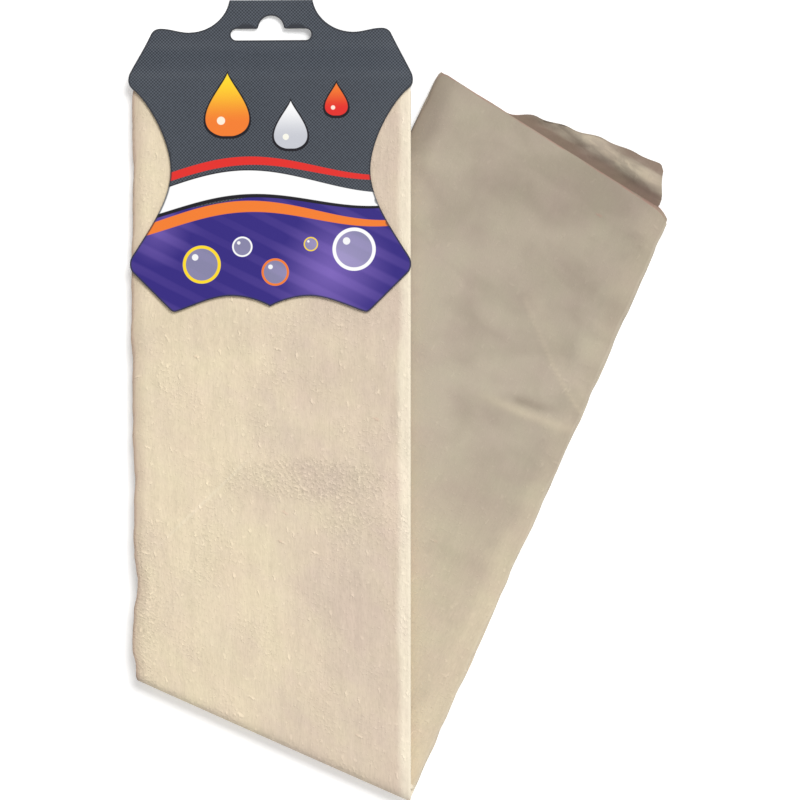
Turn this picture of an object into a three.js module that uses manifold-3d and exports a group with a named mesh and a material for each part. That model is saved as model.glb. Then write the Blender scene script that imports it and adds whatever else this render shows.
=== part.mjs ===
import * as THREE from 'three';
import { mergeVertices } from 'three/addons/utils/BufferGeometryUtils.js';
import Module from 'manifold-3d';

// A chamois leather as it is sold: one skin, pleated lengthwise into a strip of plies, folded once
// across, and held by a folded header card with a hanging slot. It lies flat on a table.
// Millimetres, +Z up, +Y from the fold towards the card, +X to the right.

const { lerp, smoothstep, degToRad } = THREE.MathUtils;

// Leather: the skin's own thickness, and the air left between two plies of the strip
const LEATHER_THICKNESS = 0.7;
const PLY_GAP = 0.2;
const PLY_COUNT = 6;
const STRIP_WIDTH = 110.7;

// The fold across the strip: it slopes, so the two runs open like a V
const FOLD_SLOPE = degToRad(22.4);
const BEND_CLEARANCE = 0.15;
const SEAM_GAP = 0.3;

// Front run, on top: from the outer edge of the fold to its end under the card, at its left edge
const FRONT_LENGTH = 238.5;
const EDGE_WAVE = 2.8;
const PLY_STEP = 1.2;
const END_STEP = 2;
const CORNER_CUT = 3.2;

// Rear run, on the table: the length and lean of its two edges
const REAR_LEFT_LENGTH = 270.2;
const REAR_RIGHT_LENGTH = 248.7;
const REAR_LEFT_LEAN = degToRad(26.6);
const REAR_RIGHT_LEAN = degToRad(24.1);
const REAR_REACH = 22;
const REAR_FLARE = 3;

// Front run's drape: how far past the rear run's edge it starts to sink, and how wide it sinks
const DRAPE_START = 10;
const DRAPE_RUN = 85;

// Header card: one board folded at the top of its neck, cut to the outline of a hide
const CARD_WIDTH = 112.4;
const CARD_HEIGHT = 123.6;
const CARD_REACH = 31.6;
const BOARD = 0.4;
const LEAF_GAP = 0.3;
const NECK_DEPTH = 17.2;
const LEAF_RISE = 13.8;

// Hanging slot through both leaves: a bar with a dome over its middle
const SLOT_WIDTH = 32;
const SLOT_BAR = 4.6;
const SLOT_HEIGHT = 9.8;
const SLOT_DOME = 10.2;
const SLOT_FILLET = 1;
const SLOT_DEPTH = 16;

// Spots of glue between the card's leaves and the leather
const GLUE_DIAMETER = 12;
const GLUE_THICKNESS = 0.4;
const GLUE_SPREAD = 56;
const GLUE_DEPTH = 60;
const SEAT_GAP = 0.3;

// The leather sinks back to the table past the card's lower edge
const LIFT_MARGIN = 5;
const LIFT_RUN = 40;

// One overrun serves all cuts
const OVERRUN = 4;

const PLY_PITCH = LEATHER_THICKNESS + PLY_GAP;
const STACK = PLY_COUNT * PLY_PITCH - PLY_GAP;
const PLEAT_RADIUS = LEATHER_THICKNESS + PLY_GAP / 2;
const TURN_RADIUS = STACK + BEND_CLEARANCE;
const RUN_GAP = 2 * BEND_CLEARANCE;
const STANDOFF = GLUE_THICKNESS + 2 * SEAT_GAP;
const LIFT = BOARD + STANDOFF;
const CREASE_RADIUS = BOARD + LEAF_GAP / 2;
const HALF_WIDTH = STRIP_WIDTH / 2;
const CARD_TOP = FRONT_LENGTH + CARD_REACH;
const CARD_BOTTOM = CARD_TOP - CARD_HEIGHT;

// Where the samples of a ply's face lie across it, close together at the edges
const ACROSS_SHARES = [0, 0.03, 0.2, 0.4, 0.6, 0.8, 0.97, 1];
const RUN_STEPS = 10;
const TURN_STEPS = 8;
const PLEAT_ARC_STEPS = 4;

// The raw edge of the skin wanders: its offsets from the fold up, as shares of the wave
const EDGE_WAVE_SHARES = [0.85, 0.3, 1, 0.9, 0.6, 0, 0, 0.2, 0.5, 0.2, 0];

// How far each pleat and raw edge stands in from the strip's edge, as shares of one step
const LEFT_STEP_SHARES = [0, 0.9, 0.9, 0.4, 0.4, 0.7];
const RIGHT_STEP_SHARES = [0, 0, 0.8, 0.8, 0.3, 0.3];

// How far each ply, from the top of the front run, ends short at its front end and on at its rear end
const FRONT_END_SHARES = [0.2, 0.6, 1, 0.5, 0.8, 0];
const REAR_END_SHARES = [0.3, 0.5, 0.65, 0.82, 1, 0];

// How far the rear end's longer plies show past the upper one, from the left edge to the right
const REACH_SHARES = [0, 0, 0.05, 0.38, 0.51, 0.76, 0.87, 1];
const FLARE_START_SHARE = 0.75;
const FLARE_EDGE_SHARE = 0.25;

const leather = new THREE.MeshStandardMaterial({ color: 0xdccdb2, roughness: 0.95, metalness: 0 });
const rearLeather = new THREE.MeshStandardMaterial({ color: 0xb9aa90, roughness: 0.95, metalness: 0 });
const board = new THREE.MeshStandardMaterial({ color: 0x4e525a, roughness: 0.45, metalness: 0 });
const glue = new THREE.MeshStandardMaterial({ color: 0xe8e2cf, roughness: 0.3, metalness: 0 });

// The fold's directions in plan: along it to the right, and square to it towards the runs
const ALONG_FOLD = new THREE.Vector2(Math.cos(FOLD_SLOPE), -Math.sin(FOLD_SLOPE));
const INTO_RUNS = new THREE.Vector2(Math.sin(FOLD_SLOPE), Math.cos(FOLD_SLOPE));
const FRONT_SKEW = Math.tan(FOLD_SLOPE);

function leanVector(lean) {
  return new THREE.Vector2(Math.sin(lean), Math.cos(lean));
}

// A point on the outer edge of the fold, at a share of the strip's width from the left
function foldEdge(share) {
  const x = lerp(-HALF_WIDTH, HALF_WIDTH, share);
  return new THREE.Vector2(x, -(x + HALF_WIDTH) * FRONT_SKEW);
}

// A point inside the fold's outer edge by a depth, moved along the fold by the skew of the run's edges
function insideFold(share, depth, skew) {
  return foldEdge(share)
    .addScaledVector(INTO_RUNS, depth)
    .addScaledVector(ALONG_FOLD, -skew * depth);
}

function rearSkew(share) {
  return -Math.tan(lerp(REAR_LEFT_LEAN, REAR_RIGHT_LEAN, share) - FOLD_SLOPE);
}

// A value between the entries of a table, at a share of its length
function along(table, share) {
  const place = THREE.MathUtils.clamp(share, 0, 1) * (table.length - 1);
  const index = Math.min(Math.floor(place), table.length - 2);
  return lerp(table[index], table[index + 1], place - index);
}

// Height of what the front run and the card lie on: the rear run's top, sinking to the table
// on the left of the rear run
function restHeight(plan) {
  const leftOfRear = new THREE.Vector2(-Math.cos(REAR_LEFT_LEAN), Math.sin(REAR_LEFT_LEAN));
  const past = plan.clone().sub(foldEdge(0)).dot(leftOfRear);
  return (STACK + RUN_GAP) * (1 - smoothstep(past, DRAPE_START, DRAPE_START + DRAPE_RUN));
}

// The back leaf and its glue lift the leather by one step in the card's reach
function cardLift(plan) {
  const edge = CARD_BOTTOM - LIFT_MARGIN;
  return LIFT * smoothstep(plan.y, edge - LIFT_RUN, edge);
}

// One face of a ply in the strip's cross section, from its left end to its right end
function plyFace(ply, height, leftInset, rightInset) {
  const left = leftInset + PLY_STEP * LEFT_STEP_SHARES[ply];
  const right = STRIP_WIDTH - rightInset - PLY_STEP * RIGHT_STEP_SHARES[ply];
  return ACROSS_SHARES.map((share) => ({ across: lerp(left, right, share), height, ply }));
}

// The outside of a pleat that joins two plies, from the upper to the lower, without its end points
function pleatArc(upper, side) {
  const shares = side > 0 ? RIGHT_STEP_SHARES : LEFT_STEP_SHARES;
  const edge = side > 0 ? STRIP_WIDTH - PLY_STEP * shares[upper] : PLY_STEP * shares[upper];
  const centre = plyBottom(upper + 1) + PLEAT_RADIUS;
  const points = [];
  for (let step = 1; step < PLEAT_ARC_STEPS; step += 1) {
    const turned = step / PLEAT_ARC_STEPS;
    const angle = Math.PI * (0.5 - turned);
    points.push({
      across: edge - side * PLEAT_RADIUS * (1 - Math.cos(angle)),
      height: centre + PLEAT_RADIUS * Math.sin(angle),
      ply: upper + turned,
    });
  }
  return points;
}

// Ply 0 is the outermost, which is the face of the front run and lies on the table in the rear run
function plyBottom(ply) {
  return (PLY_COUNT - 1 - ply) * PLY_PITCH;
}

function plyTop(ply) {
  return plyBottom(ply) + LEATHER_THICKNESS;
}

// The closed outline of the pleated skin's cross section. Even plies join the next one on the right,
// odd plies on the left, and the skin's two raw edges are both on the left.
function pleatedOutline() {
  const outline = [];
  const last = PLY_COUNT - 1;
  for (let ply = 0; ply < PLY_COUNT; ply += 2) {
    const leftTop = ply === 0 ? 0 : LEATHER_THICKNESS;
    const leftBottom = ply + 1 === last ? 0 : LEATHER_THICKNESS;
    outline.push(...plyFace(ply, plyTop(ply), leftTop, PLEAT_RADIUS));
    outline.push(...pleatArc(ply, 1));
    outline.push(...plyFace(ply + 1, plyBottom(ply + 1), leftBottom, PLEAT_RADIUS).reverse());
  }
  for (let ply = last; ply > 0; ply -= 2) {
    const leftTop = ply === last ? 0 : PLEAT_RADIUS;
    const leftBottom = ply === 1 ? 0 : PLEAT_RADIUS;
    outline.push(...plyFace(ply, plyTop(ply), leftTop, LEATHER_THICKNESS));
    outline.push(...plyFace(ply - 1, plyBottom(ply - 1), leftBottom, LEATHER_THICKNESS).reverse());
    if (ply > 1) outline.push(...pleatArc(ply - 2, -1).reverse());
  }
  return outline;
}

function geometryFrom(vertices, triangles) {
  const geometry = new THREE.BufferGeometry();
  geometry.setAttribute('position', new THREE.Float32BufferAttribute(vertices, 3));
  geometry.setIndex(triangles);
  if (signedVolume(geometry) < 0) {
    geometry.setIndex(triangles.reverse());
  }
  geometry.computeVertexNormals();
  return geometry;
}

function signedVolume(geometry) {
  const corner = [new THREE.Vector3(), new THREE.Vector3(), new THREE.Vector3()];
  const position = geometry.attributes.position;
  let volume = 0;
  for (let i = 0; i < geometry.index.count; i += 3) {
    corner.forEach((point, k) => point.fromBufferAttribute(position, geometry.index.getX(i + k)));
    volume += corner[0].dot(corner[1].cross(corner[2])) / 6;
  }
  return volume;
}

// A solid lofted through a closed outline that is placed once at each step
function loft(section, steps, place) {
  const vertices = [];
  const triangles = [];
  const count = section.length;
  const clockwise = THREE.ShapeUtils.isClockWise(section.map(flatPoint));
  const outline = clockwise ? [...section].reverse() : section;
  for (let step = 0; step <= steps; step += 1) {
    outline.forEach((point) => vertices.push(...place(point, step / steps)));
  }
  for (let step = 0; step < steps; step += 1) {
    for (let i = 0; i < count; i += 1) {
      const a = step * count + i;
      const b = step * count + ((i + 1) % count);
      triangles.push(a, b, b + count, a, b + count, a + count);
    }
  }
  const end = steps * count;
  THREE.ShapeUtils.triangulateShape(outline.map(flatPoint), []).forEach(([a, b, c]) => {
    triangles.push(c, b, a, end + a, end + b, end + c);
  });
  return geometryFrom(vertices, triangles);
}

function flatPoint(point) {
  return new THREE.Vector2(point.across, point.height);
}

// The corners of a run's end are cut back a little, as a skin's corners are
function cornerCut(share) {
  const edge = ACROSS_SHARES[1];
  return CORNER_CUT * Math.max(1 - share / edge, 1 - (1 - share) / edge, 0);
}

function frontRunPoint(point, run) {
  const share = point.across / STRIP_WIDTH;
  const start = insideFold(share, TURN_RADIUS + SEAM_GAP, FRONT_SKEW);
  const endInset = END_STEP * along(FRONT_END_SHARES, point.ply / (PLY_COUNT - 1));
  const end = new THREE.Vector2(lerp(-HALF_WIDTH, HALF_WIDTH, share), FRONT_LENGTH);
  end.y -= endInset + cornerCut(share);
  const plan = start.lerp(end, run);
  plan.x += EDGE_WAVE * along(EDGE_WAVE_SHARES, run) * (1 - share);
  return [plan.x, plan.y, restHeight(plan) + cardLift(plan) + point.height];
}

function turnPoint(point, turned) {
  const share = point.across / STRIP_WIDTH;
  const angle = Math.PI * turned;
  const radius = BEND_CLEARANCE + point.height;
  const depth = TURN_RADIUS - radius * Math.sin(angle);
  const skew = lerp(FRONT_SKEW, rearSkew(share), (1 - Math.cos(angle)) / 2);
  const plan = insideFold(share, depth, skew);
  plan.x += EDGE_WAVE * EDGE_WAVE_SHARES[0] * (1 - share) * (1 - turned);
  return [plan.x, plan.y, TURN_RADIUS + radius * Math.cos(angle)];
}

function rearRunPoint(point, run) {
  const share = point.across / STRIP_WIDTH;
  const start = insideFold(share, TURN_RADIUS + SEAM_GAP, rearSkew(share));
  const leftEnd = foldEdge(0).addScaledVector(leanVector(REAR_LEFT_LEAN), REAR_LEFT_LENGTH);
  const rightEnd = foldEdge(1).addScaledVector(leanVector(REAR_RIGHT_LEAN), REAR_RIGHT_LENGTH);
  const plan = start.lerp(leftEnd.lerp(rightEnd, share), run);
  if (run === 1) {
    const reach = along(REAR_END_SHARES, point.ply / (PLY_COUNT - 1)) * REAR_REACH;
    plan.addScaledVector(leanVector(lerp(REAR_LEFT_LEAN, REAR_RIGHT_LEAN, share)), -cornerCut(share));
    plan.y += reach * along(REACH_SHARES, share);
  }
  const flare = smoothstep(run, FLARE_START_SHARE, 1) * smoothstep(share, FLARE_EDGE_SHARE, 1);
  const height = (STACK - point.height) * (1 + REAR_FLARE / STACK * flare);
  return [plan.x, plan.y, height];
}

// Half of the hide's outline from the neck's top corner round to the middle of the lower edge,
// in shares of half the card's width and of its height. A row of six is a curve with its two
// handles, and a row of two is a straight line.
const NECK_CORNER_SHARES = [0.294, 0];
const HIDE_OUTLINE_SHARES = [
  [0.303, 0.045, 0.408, 0.102, 0.577, 0.104],
  [0.648, 0.104, 0.711, 0.0915, 0.775, 0.0915],
  [0.806, 0.0915, 0.827, 0.096, 0.842, 0.106],
  [0.989, 0.24],
  [1.004, 0.256, 1.004, 0.275, 0.972, 0.288],
  [0.859, 0.327, 0.701, 0.455, 0.701, 0.547],
  [0.701, 0.64, 0.831, 0.723, 0.975, 0.826],
  [0.993, 0.842, 0.989, 0.861, 0.968, 0.874],
  [0.711, 0.99],
  [0.69, 1, 0.676, 1.002, 0.655, 0.999],
  [0.549, 0.984, 0.408, 0.95, 0.275, 0.95],
  [0.169, 0.95, 0.063, 0.967, 0, 0.983],
];

function hideShape() {
  const place = (xShare, yShare, side) => [xShare * side * CARD_WIDTH / 2, -yShare * CARD_HEIGHT];
  const [cornerX, cornerY] = place(...NECK_CORNER_SHARES, 1);
  const shape = new THREE.Shape();
  shape.moveTo(-cornerX, OVERRUN);
  shape.lineTo(cornerX, OVERRUN);
  shape.lineTo(cornerX, cornerY);
  const rows = [NECK_CORNER_SHARES, ...HIDE_OUTLINE_SHARES];
  rows.slice(1).forEach((row) => addStretch(shape, pairs(row).map(([x, y]) => place(x, y, 1))));
  for (let i = rows.length - 1; i > 0; i -= 1) {
    const handles = pairs(rows[i]).slice(0, -1).reverse();
    const target = pairs(rows[i - 1]).at(-1);
    addStretch(shape, [...handles, target].map(([x, y]) => place(x, y, -1)));
  }
  return shape;
}

function pairs(row) {
  const found = [];
  for (let i = 0; i < row.length; i += 2) found.push([row[i], row[i + 1]]);
  return found;
}

function addStretch(shape, points) {
  if (points.length === 1) {
    shape.lineTo(...points[0]);
  } else {
    shape.bezierCurveTo(...points.flat());
  }
}

// The hanging slot: a round-ended bar, with a dome that springs from its top on two small fillets
function slotPath() {
  const low = -SLOT_DEPTH;
  const high = low + SLOT_BAR;
  const endRadius = SLOT_BAR / 2;
  const middle = low + endRadius;
  const straight = SLOT_WIDTH / 2 - endRadius;
  const domeRadius = SLOT_DOME / 2;
  const domeMiddle = low + SLOT_HEIGHT - domeRadius;
  const foot = domeRadius + SLOT_FILLET;
  const spring = Math.asin(SLOT_FILLET / domeRadius);
  const springX = domeRadius * Math.cos(spring);
  const path = new THREE.Path();
  path.moveTo(-straight, low);
  path.lineTo(straight, low);
  path.absarc(straight, middle, endRadius, -Math.PI / 2, Math.PI / 2, false);
  path.lineTo(foot, high);
  path.quadraticCurveTo(domeRadius, high, springX, domeMiddle + SLOT_FILLET);
  path.absarc(0, domeMiddle, domeRadius, spring, Math.PI - spring, false);
  path.quadraticCurveTo(-domeRadius, high, -foot, high);
  path.lineTo(-straight, high);
  path.absarc(-straight, middle, endRadius, Math.PI / 2, Math.PI * 3 / 2, false);
  return path;
}

const OUTLINE_STEPS = 7;
const CARD_COLUMNS = 14;
const LEAF_STEPS = 11;
const RISE_STEPS = 5;
const CREASE_STEPS = 6;

// The board's middle line from the back leaf's lower edge, over the crease, to the front leaf's
function boardLine() {
  const below = -CARD_HEIGHT - OVERRUN;
  const backHeight = BOARD / 2;
  const neckHeight = backHeight + BOARD + LEAF_GAP;
  const faceHeight = LIFT + STACK + STANDOFF + BOARD / 2;
  const line = [];
  for (let i = 0; i < LEAF_STEPS; i += 1) {
    line.push([lerp(below, -CREASE_RADIUS, i / LEAF_STEPS), backHeight]);
  }
  const bend = (neckHeight - backHeight) / 2;
  for (let i = 0; i <= CREASE_STEPS; i += 1) {
    const angle = Math.PI * (i / CREASE_STEPS - 0.5);
    const y = -CREASE_RADIUS + bend * Math.cos(angle);
    line.push([y, backHeight + bend + bend * Math.sin(angle)]);
  }
  for (let i = 0; i <= RISE_STEPS; i += 1) {
    const share = i / RISE_STEPS;
    const height = lerp(neckHeight, faceHeight, smoothstep(share, 0, 1));
    line.push([-NECK_DEPTH - LEAF_RISE * share, height]);
  }
  for (let i = 1; i <= LEAF_STEPS; i += 1) {
    line.push([lerp(-NECK_DEPTH - LEAF_RISE, below, i / LEAF_STEPS), faceHeight]);
  }
  return line;
}

// The board before it is cut out: the middle line thickened to both sides and drawn out across
function boardBlank() {
  const line = boardLine();
  const section = [1, -1].map((side) => line.map((point, i) => {
    const before = line[Math.max(i - 1, 0)];
    const after = line[Math.min(i + 1, line.length - 1)];
    const length = Math.hypot(after[0] - before[0], after[1] - before[1]);
    const offset = side * BOARD / 2 / length;
    return {
      across: point[0] + offset * (after[1] - before[1]),
      height: point[1] - offset * (after[0] - before[0]),
    };
  }));
  const outline = [...section[0], ...section[1].reverse()];
  const halfSpan = CARD_WIDTH / 2 + OVERRUN;
  return loft(outline, CARD_COLUMNS, (point, share) => {
    const plan = new THREE.Vector2(lerp(-halfSpan, halfSpan, share), CARD_TOP + point.across);
    return [plan.x, plan.y, point.height + restHeight(plan)];
  });
}

const wasm = await Module();
wasm.setup();

function toManifold(geometry) {
  const bare = geometry.clone();
  bare.deleteAttribute('normal');
  bare.deleteAttribute('uv');
  const merged = mergeVertices(bare);
  const mesh = new wasm.Mesh({
    numProp: 3,
    vertProperties: new Float32Array(merged.attributes.position.array),
    triVerts: new Uint32Array(merged.index.array),
  });
  return new wasm.Manifold(mesh);
}

function fromManifold(solid) {
  const mesh = solid.getMesh();
  return geometryFrom(Array.from(mesh.vertProperties), Array.from(mesh.triVerts));
}

function headerCard() {
  const shape = hideShape();
  shape.holes.push(slotPath());
  const height = STACK + RUN_GAP + LIFT + STACK + STANDOFF + BOARD + 2 * OVERRUN;
  const cutter = new THREE.ExtrudeGeometry(shape, {
    depth: height,
    bevelEnabled: false,
    curveSegments: OUTLINE_STEPS,
  });
  cutter.translate(0, CARD_TOP, -OVERRUN);
  return fromManifold(toManifold(boardBlank()).intersect(toManifold(cutter)));
}

// A spot of glue pressed flat between a leaf and the leather, following the drape
function glueDot(side, level) {
  const radius = GLUE_DIAMETER / 2;
  const rim = GLUE_THICKNESS / 2;
  const profile = [
    new THREE.Vector2(0, 0),
    new THREE.Vector2(radius - rim, 0),
    new THREE.Vector2(radius, rim),
    new THREE.Vector2(radius - rim, GLUE_THICKNESS),
    new THREE.Vector2(0, GLUE_THICKNESS),
  ];
  const geometry = new THREE.LatheGeometry(profile, 20);
  geometry.rotateX(Math.PI / 2);
  geometry.translate(side * GLUE_SPREAD / 2, CARD_TOP - GLUE_DEPTH, level);
  const position = geometry.attributes.position;
  for (let i = 0; i < position.count; i += 1) {
    const plan = new THREE.Vector2(position.getX(i), position.getY(i));
    position.setZ(i, position.getZ(i) + restHeight(plan));
  }
  geometry.computeVertexNormals();
  return geometry;
}

const chamoisLeather = new THREE.Group();

function addPiece(parent, name, geometry, material) {
  const mesh = new THREE.Mesh(geometry, material);
  mesh.name = name;
  parent.add(mesh);
}

const skin = new THREE.Group();
addPiece(skin, 'chamois_rear_run', loft(pleatedOutline(), RUN_STEPS, rearRunPoint), rearLeather);
addPiece(skin, 'chamois_bottom_turn', loft(pleatedOutline(), TURN_STEPS, turnPoint), leather);
addPiece(skin, 'chamois_front_run', loft(pleatedOutline(), RUN_STEPS, frontRunPoint), leather);
chamoisLeather.add(skin);

const header = new THREE.Group();
const backLevel = BOARD + SEAT_GAP;
const frontLevel = LIFT + STACK + SEAT_GAP;
addPiece(header, 'header_card', headerCard(), board);
addPiece(header, 'glue_dot_back_left', glueDot(-1, backLevel), glue);
addPiece(header, 'glue_dot_back_right', glueDot(1, backLevel), glue);
addPiece(header, 'glue_dot_front_left', glueDot(-1, frontLevel), glue);
addPiece(header, 'glue_dot_front_right', glueDot(1, frontLevel), glue);
chamoisLeather.add(header);

// The origin is under the middle of the whole, on the table
const bounds = new THREE.Box3().setFromObject(chamoisLeather);
const middle = bounds.getCenter(new THREE.Vector3());
chamoisLeather.position.set(-middle.x, -middle.y, -bounds.min.z);

export default chamoisLeather;
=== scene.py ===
"""Looks of a folded chamois leather and its hide-shaped header card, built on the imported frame."""

import math

import bpy
import numpy as np
from bpy.props import FloatProperty, FloatVectorProperty, PointerProperty
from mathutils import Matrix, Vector
from mathutils.geometry import delaunay_2d_cdt


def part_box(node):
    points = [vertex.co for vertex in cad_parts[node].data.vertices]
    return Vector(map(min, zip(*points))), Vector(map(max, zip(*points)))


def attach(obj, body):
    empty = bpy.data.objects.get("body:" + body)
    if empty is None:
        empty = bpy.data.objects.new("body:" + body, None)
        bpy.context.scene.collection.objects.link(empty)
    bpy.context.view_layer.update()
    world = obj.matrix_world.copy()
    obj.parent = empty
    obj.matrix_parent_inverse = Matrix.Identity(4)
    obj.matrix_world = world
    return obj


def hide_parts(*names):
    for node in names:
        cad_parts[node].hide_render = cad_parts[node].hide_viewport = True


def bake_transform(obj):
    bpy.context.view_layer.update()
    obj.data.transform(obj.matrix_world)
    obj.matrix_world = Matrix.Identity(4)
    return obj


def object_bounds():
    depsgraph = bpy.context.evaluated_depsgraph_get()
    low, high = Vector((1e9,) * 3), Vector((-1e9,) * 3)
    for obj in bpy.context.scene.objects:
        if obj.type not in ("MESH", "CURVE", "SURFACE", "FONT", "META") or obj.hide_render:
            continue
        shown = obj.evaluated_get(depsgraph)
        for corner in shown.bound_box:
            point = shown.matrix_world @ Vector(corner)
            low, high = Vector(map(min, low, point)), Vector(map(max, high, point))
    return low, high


bl_info = {
    "name": "Folded Chamois Leather",
    "version": (1, 0, 0),
    "blender": (4, 5, 0),
    "location": "3D View > Sidebar > Chamois",
    "description": "Builds a pleated and folded chamois leather with its header card",
    "category": "Add Mesh",
}

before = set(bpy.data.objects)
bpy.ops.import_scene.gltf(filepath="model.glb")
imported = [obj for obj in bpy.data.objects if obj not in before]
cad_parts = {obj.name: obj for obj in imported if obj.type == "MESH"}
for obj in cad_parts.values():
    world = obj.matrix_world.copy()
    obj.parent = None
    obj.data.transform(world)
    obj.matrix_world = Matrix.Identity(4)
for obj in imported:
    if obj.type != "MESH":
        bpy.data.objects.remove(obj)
cad_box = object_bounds()

MM = 0.001
# Above which angle between two faces their edge is sharp
SHARP_ANGLE = math.radians(50)

# The skin's plies, counted from the face of the front run. In shares of one step, how far each
# stands in from the strip's left and right edges and ends short under the card
PLIES = 6
LEFT_STEP_SHARES = (0, 0.9, 0.9, 0.4, 0.4, 0.7)
RIGHT_STEP_SHARES = (0, 0, 0.8, 0.8, 0.3, 0.3)
FRONT_END_SHARES = (0.2, 0.6, 1, 0.5, 0.8, 0)
# In shares of the flap's reach, how far each ply goes on at the rear end, and how far the longest
# one does from the left edge to the right
REAR_END_SHARES = (0.06, 0.09, 0.02, 0.03, 1, 0)
REACH_SHARES = (0, 0, 0.01, 0.29, 0.445, 0.63, 0.757, 0.88)
# In shares of the edge wave, how far the front run's raw edge stands in, from the fold up
EDGE_WAVE_SHARES = (
    0.85, 0.32, 0.46, 0.57, 1.02, 0.9, 0.6, 0.54, 0.57, 0.63, 0.66, 0.54, 0.41, 0.39, 0.29, 0.29,
    0.41, 0.18, 0.14, 0.14, 0.17, 0.21, 0.27, 0.27, 0.27, 0.32, 0.41, 0.38, 0.27, 0.27, 0.14,
)
# Between which places along the front run its raw edge has a short notch, how deep it is in shares
# of the edge wave, and by which power of the way from the right edge the wander grows
NOTCH_START = (0.128, 0.148)
NOTCH_END = (0.158, 0.172)
NOTCH_DEPTH = 0.18
WANDER_POWER = 1.5
# Over what length from the fold the front run's relief sets in, how much of its swells the card
# presses flat, and how far on each side of the card's lower edge it begins to
RELIEF_RUN = 14 * MM
PRESSED_FLAT = 0.6
CARD_MARGIN = 6 * MM
# How far the front run droops at its raw edge and at its pleat, and over what width
EDGE_DROOP = (0.55 * MM, 5 * MM)
PLEAT_DROOP = (0.12 * MM, 3 * MM)
# Where along the rear run its longer ply, its rounded corners and its ragged cut begin
FLAP_START = 0.8
CORNER_START = 0.93
RAGGED_START = 0.95
# How far its lowest ply is tucked in at the left, and over what length
TUCK = 1.3 * MM
TUCK_RUN = (0.3, 0.6)
# How high it may rise under the front run, and how far out that stops
UNDER_FRONT = 0.1 * MM
UNDER_FRONT_REACH = 8 * MM
# Its thin crease, its broad one and the hollow beside that, in shares of its width and its length,
# their widths and heights, how much further down the hollow dips than its painted shade lies, and
# how far off and how wide the thin one's lee is, which also gets painted highlight
CREASES = (
    ((0.642, 0.768), (0.748, 0.73), (0.835, 0.698), (0.922, 0.671), (1.0, 0.652)),
    ((0.613, 0.601), (0.71, 0.606), (0.807, 0.609), (0.9, 0.615), (1.0, 0.624)),
    ((0.775, 0.626), (0.833, 0.63), (0.893, 0.638), (0.96, 0.646)),
)
CREASE_WIDTHS = (0.8 * MM, 2.1 * MM, 1.9 * MM)
CREASE_HEIGHTS = (0.25 * MM, 0.3 * MM, -0.9 * MM)
VALLEY_SHIFT = 2.6 * MM
LEE_OFFSET = (3.6 * MM, 2.2 * MM)
LEE_WIDTH = 3.2 * MM
# How far the longer ply's side stands in, in millimetres, every 2 mm from the upper ply's end
PINCH = (3.2, 2.8, 1.4, 0.5, 0.4, 0.6, 0.5, 0.1, -0.4, 0.0, 1.6)
PINCH_SPAN = 20
# How the longer ply rises past the upper one's end: by how much, from where and to where, in
# millimetres
FLAP_WAVES = ((-1.5, 0, 2.6), (3.4, 4, 10.5), (-2.4, 12.5, 19))
# Steps round a pleat, and exponent of the superellipse that the pressed turn follows
PLEAT_STEPS = 4
PRESSED = 2 / 2.7
# How far from a ply's right end its samples get closer, and how many samples a ply has over its
# width, beside that end and at it: few where it is hidden
PLEAT_ZONES = (5.6 * MM, 2 * MM)
HIDDEN_PLY = (8, 2, 2)
FRONT_SAMPLES = [(118, 6, 9)] + [HIDDEN_PLY] * 5
REAR_SAMPLES = [HIDDEN_PLY] * 4 + [(70, 30, 4), (92, 6, 8)]
FRONT_ROWS = 216
TURN_ROWS = 25
REAR_ROWS = ((0, 0.56, 0.8, 1), (52, 48, 68))
# Where a raw edge's first samples lie, in thicknesses, and its least thickness
RAW_EDGE_SHARES = (0, 0.07, 0.2, 0.45)
RAW_EDGE_THINNEST = 0.3
# How many times as wide and as deep as the right one the left corner of a run's end is rounded
LEFT_CORNER = (0.5, 1.6)
# How far below the card's lower edge the leather starts to sink, and over what length
LIFT_MARGIN = 5 * MM
LIFT_RUN = 40 * MM
# Side of the repeating table of random values that the soft noise is made of
NOISE_TABLE = 64
# Layers of soft noise: strength in millimetres, stretch in x and y, cell in millimetres and seed
FRONT_SWELLS = ((0.45, 1, 0.45, 26, 3), (0.2, 1.2, 0.6, 11, 4))
RAW_EDGE_WAVES = ((0.24, 1, 1, 7, 11), (0.12, 1, 1, 2.5, 12))
REAR_SWELLS = ((0.3, 0.8, 0.5, 24, 31), (0.1, 1, 1, 9, 32))
REAR_END_WAVES = ((0.28, 1, 1, 12, 21),)
REAR_SIDE_WAVES = ((0.55, 1, 1, 16, 22), (0.4, 1, 1, 6, 23))
FLAP_RIPPLES = ((0.4, 1, 1.6, 8, 41), (0.3, 0.6, 2, 3, 42))
# How far the noise along an edge moves on from ply to ply, at the sides and at the rear end
PLY_SHIFT = 9 * MM
END_PLY_SHIFT = 11 * MM

# Patterns of the suede on the flat skin: scale per metre, detail, roughness and distortion
CLOUDS = (26, 3, 0.5)
BLOTCHES = (95, 3, 0.55, 0.3)
ROUGH_AREAS = (44, 2, 0.5)
DRIFT = (62, 2, 0.5)
SMEARS = (70, 2, 0.5, 0.5)
STREAKS = (420, 2, 0.6, 0.6)
STRANDS = (330, 2, 0.5)
NAP = (1500, 2, 0.6)
GRIT = (820, 2, 0.55)
LUMPS = (780, 2, 0.5)
# How much the strands and the nap are drawn out along the skin
STRAND_STRETCH = 0.13
NAP_STRETCH = 0.2
# Scattered specks of fibre: the pattern's scale, their radius in it and how rare they are
FLECKS = (160, 0.085, 0.7)
LONG_FIBRES = (90, 0.05, 0.72)
DUST = (240, 0.13, 0.72)
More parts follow.
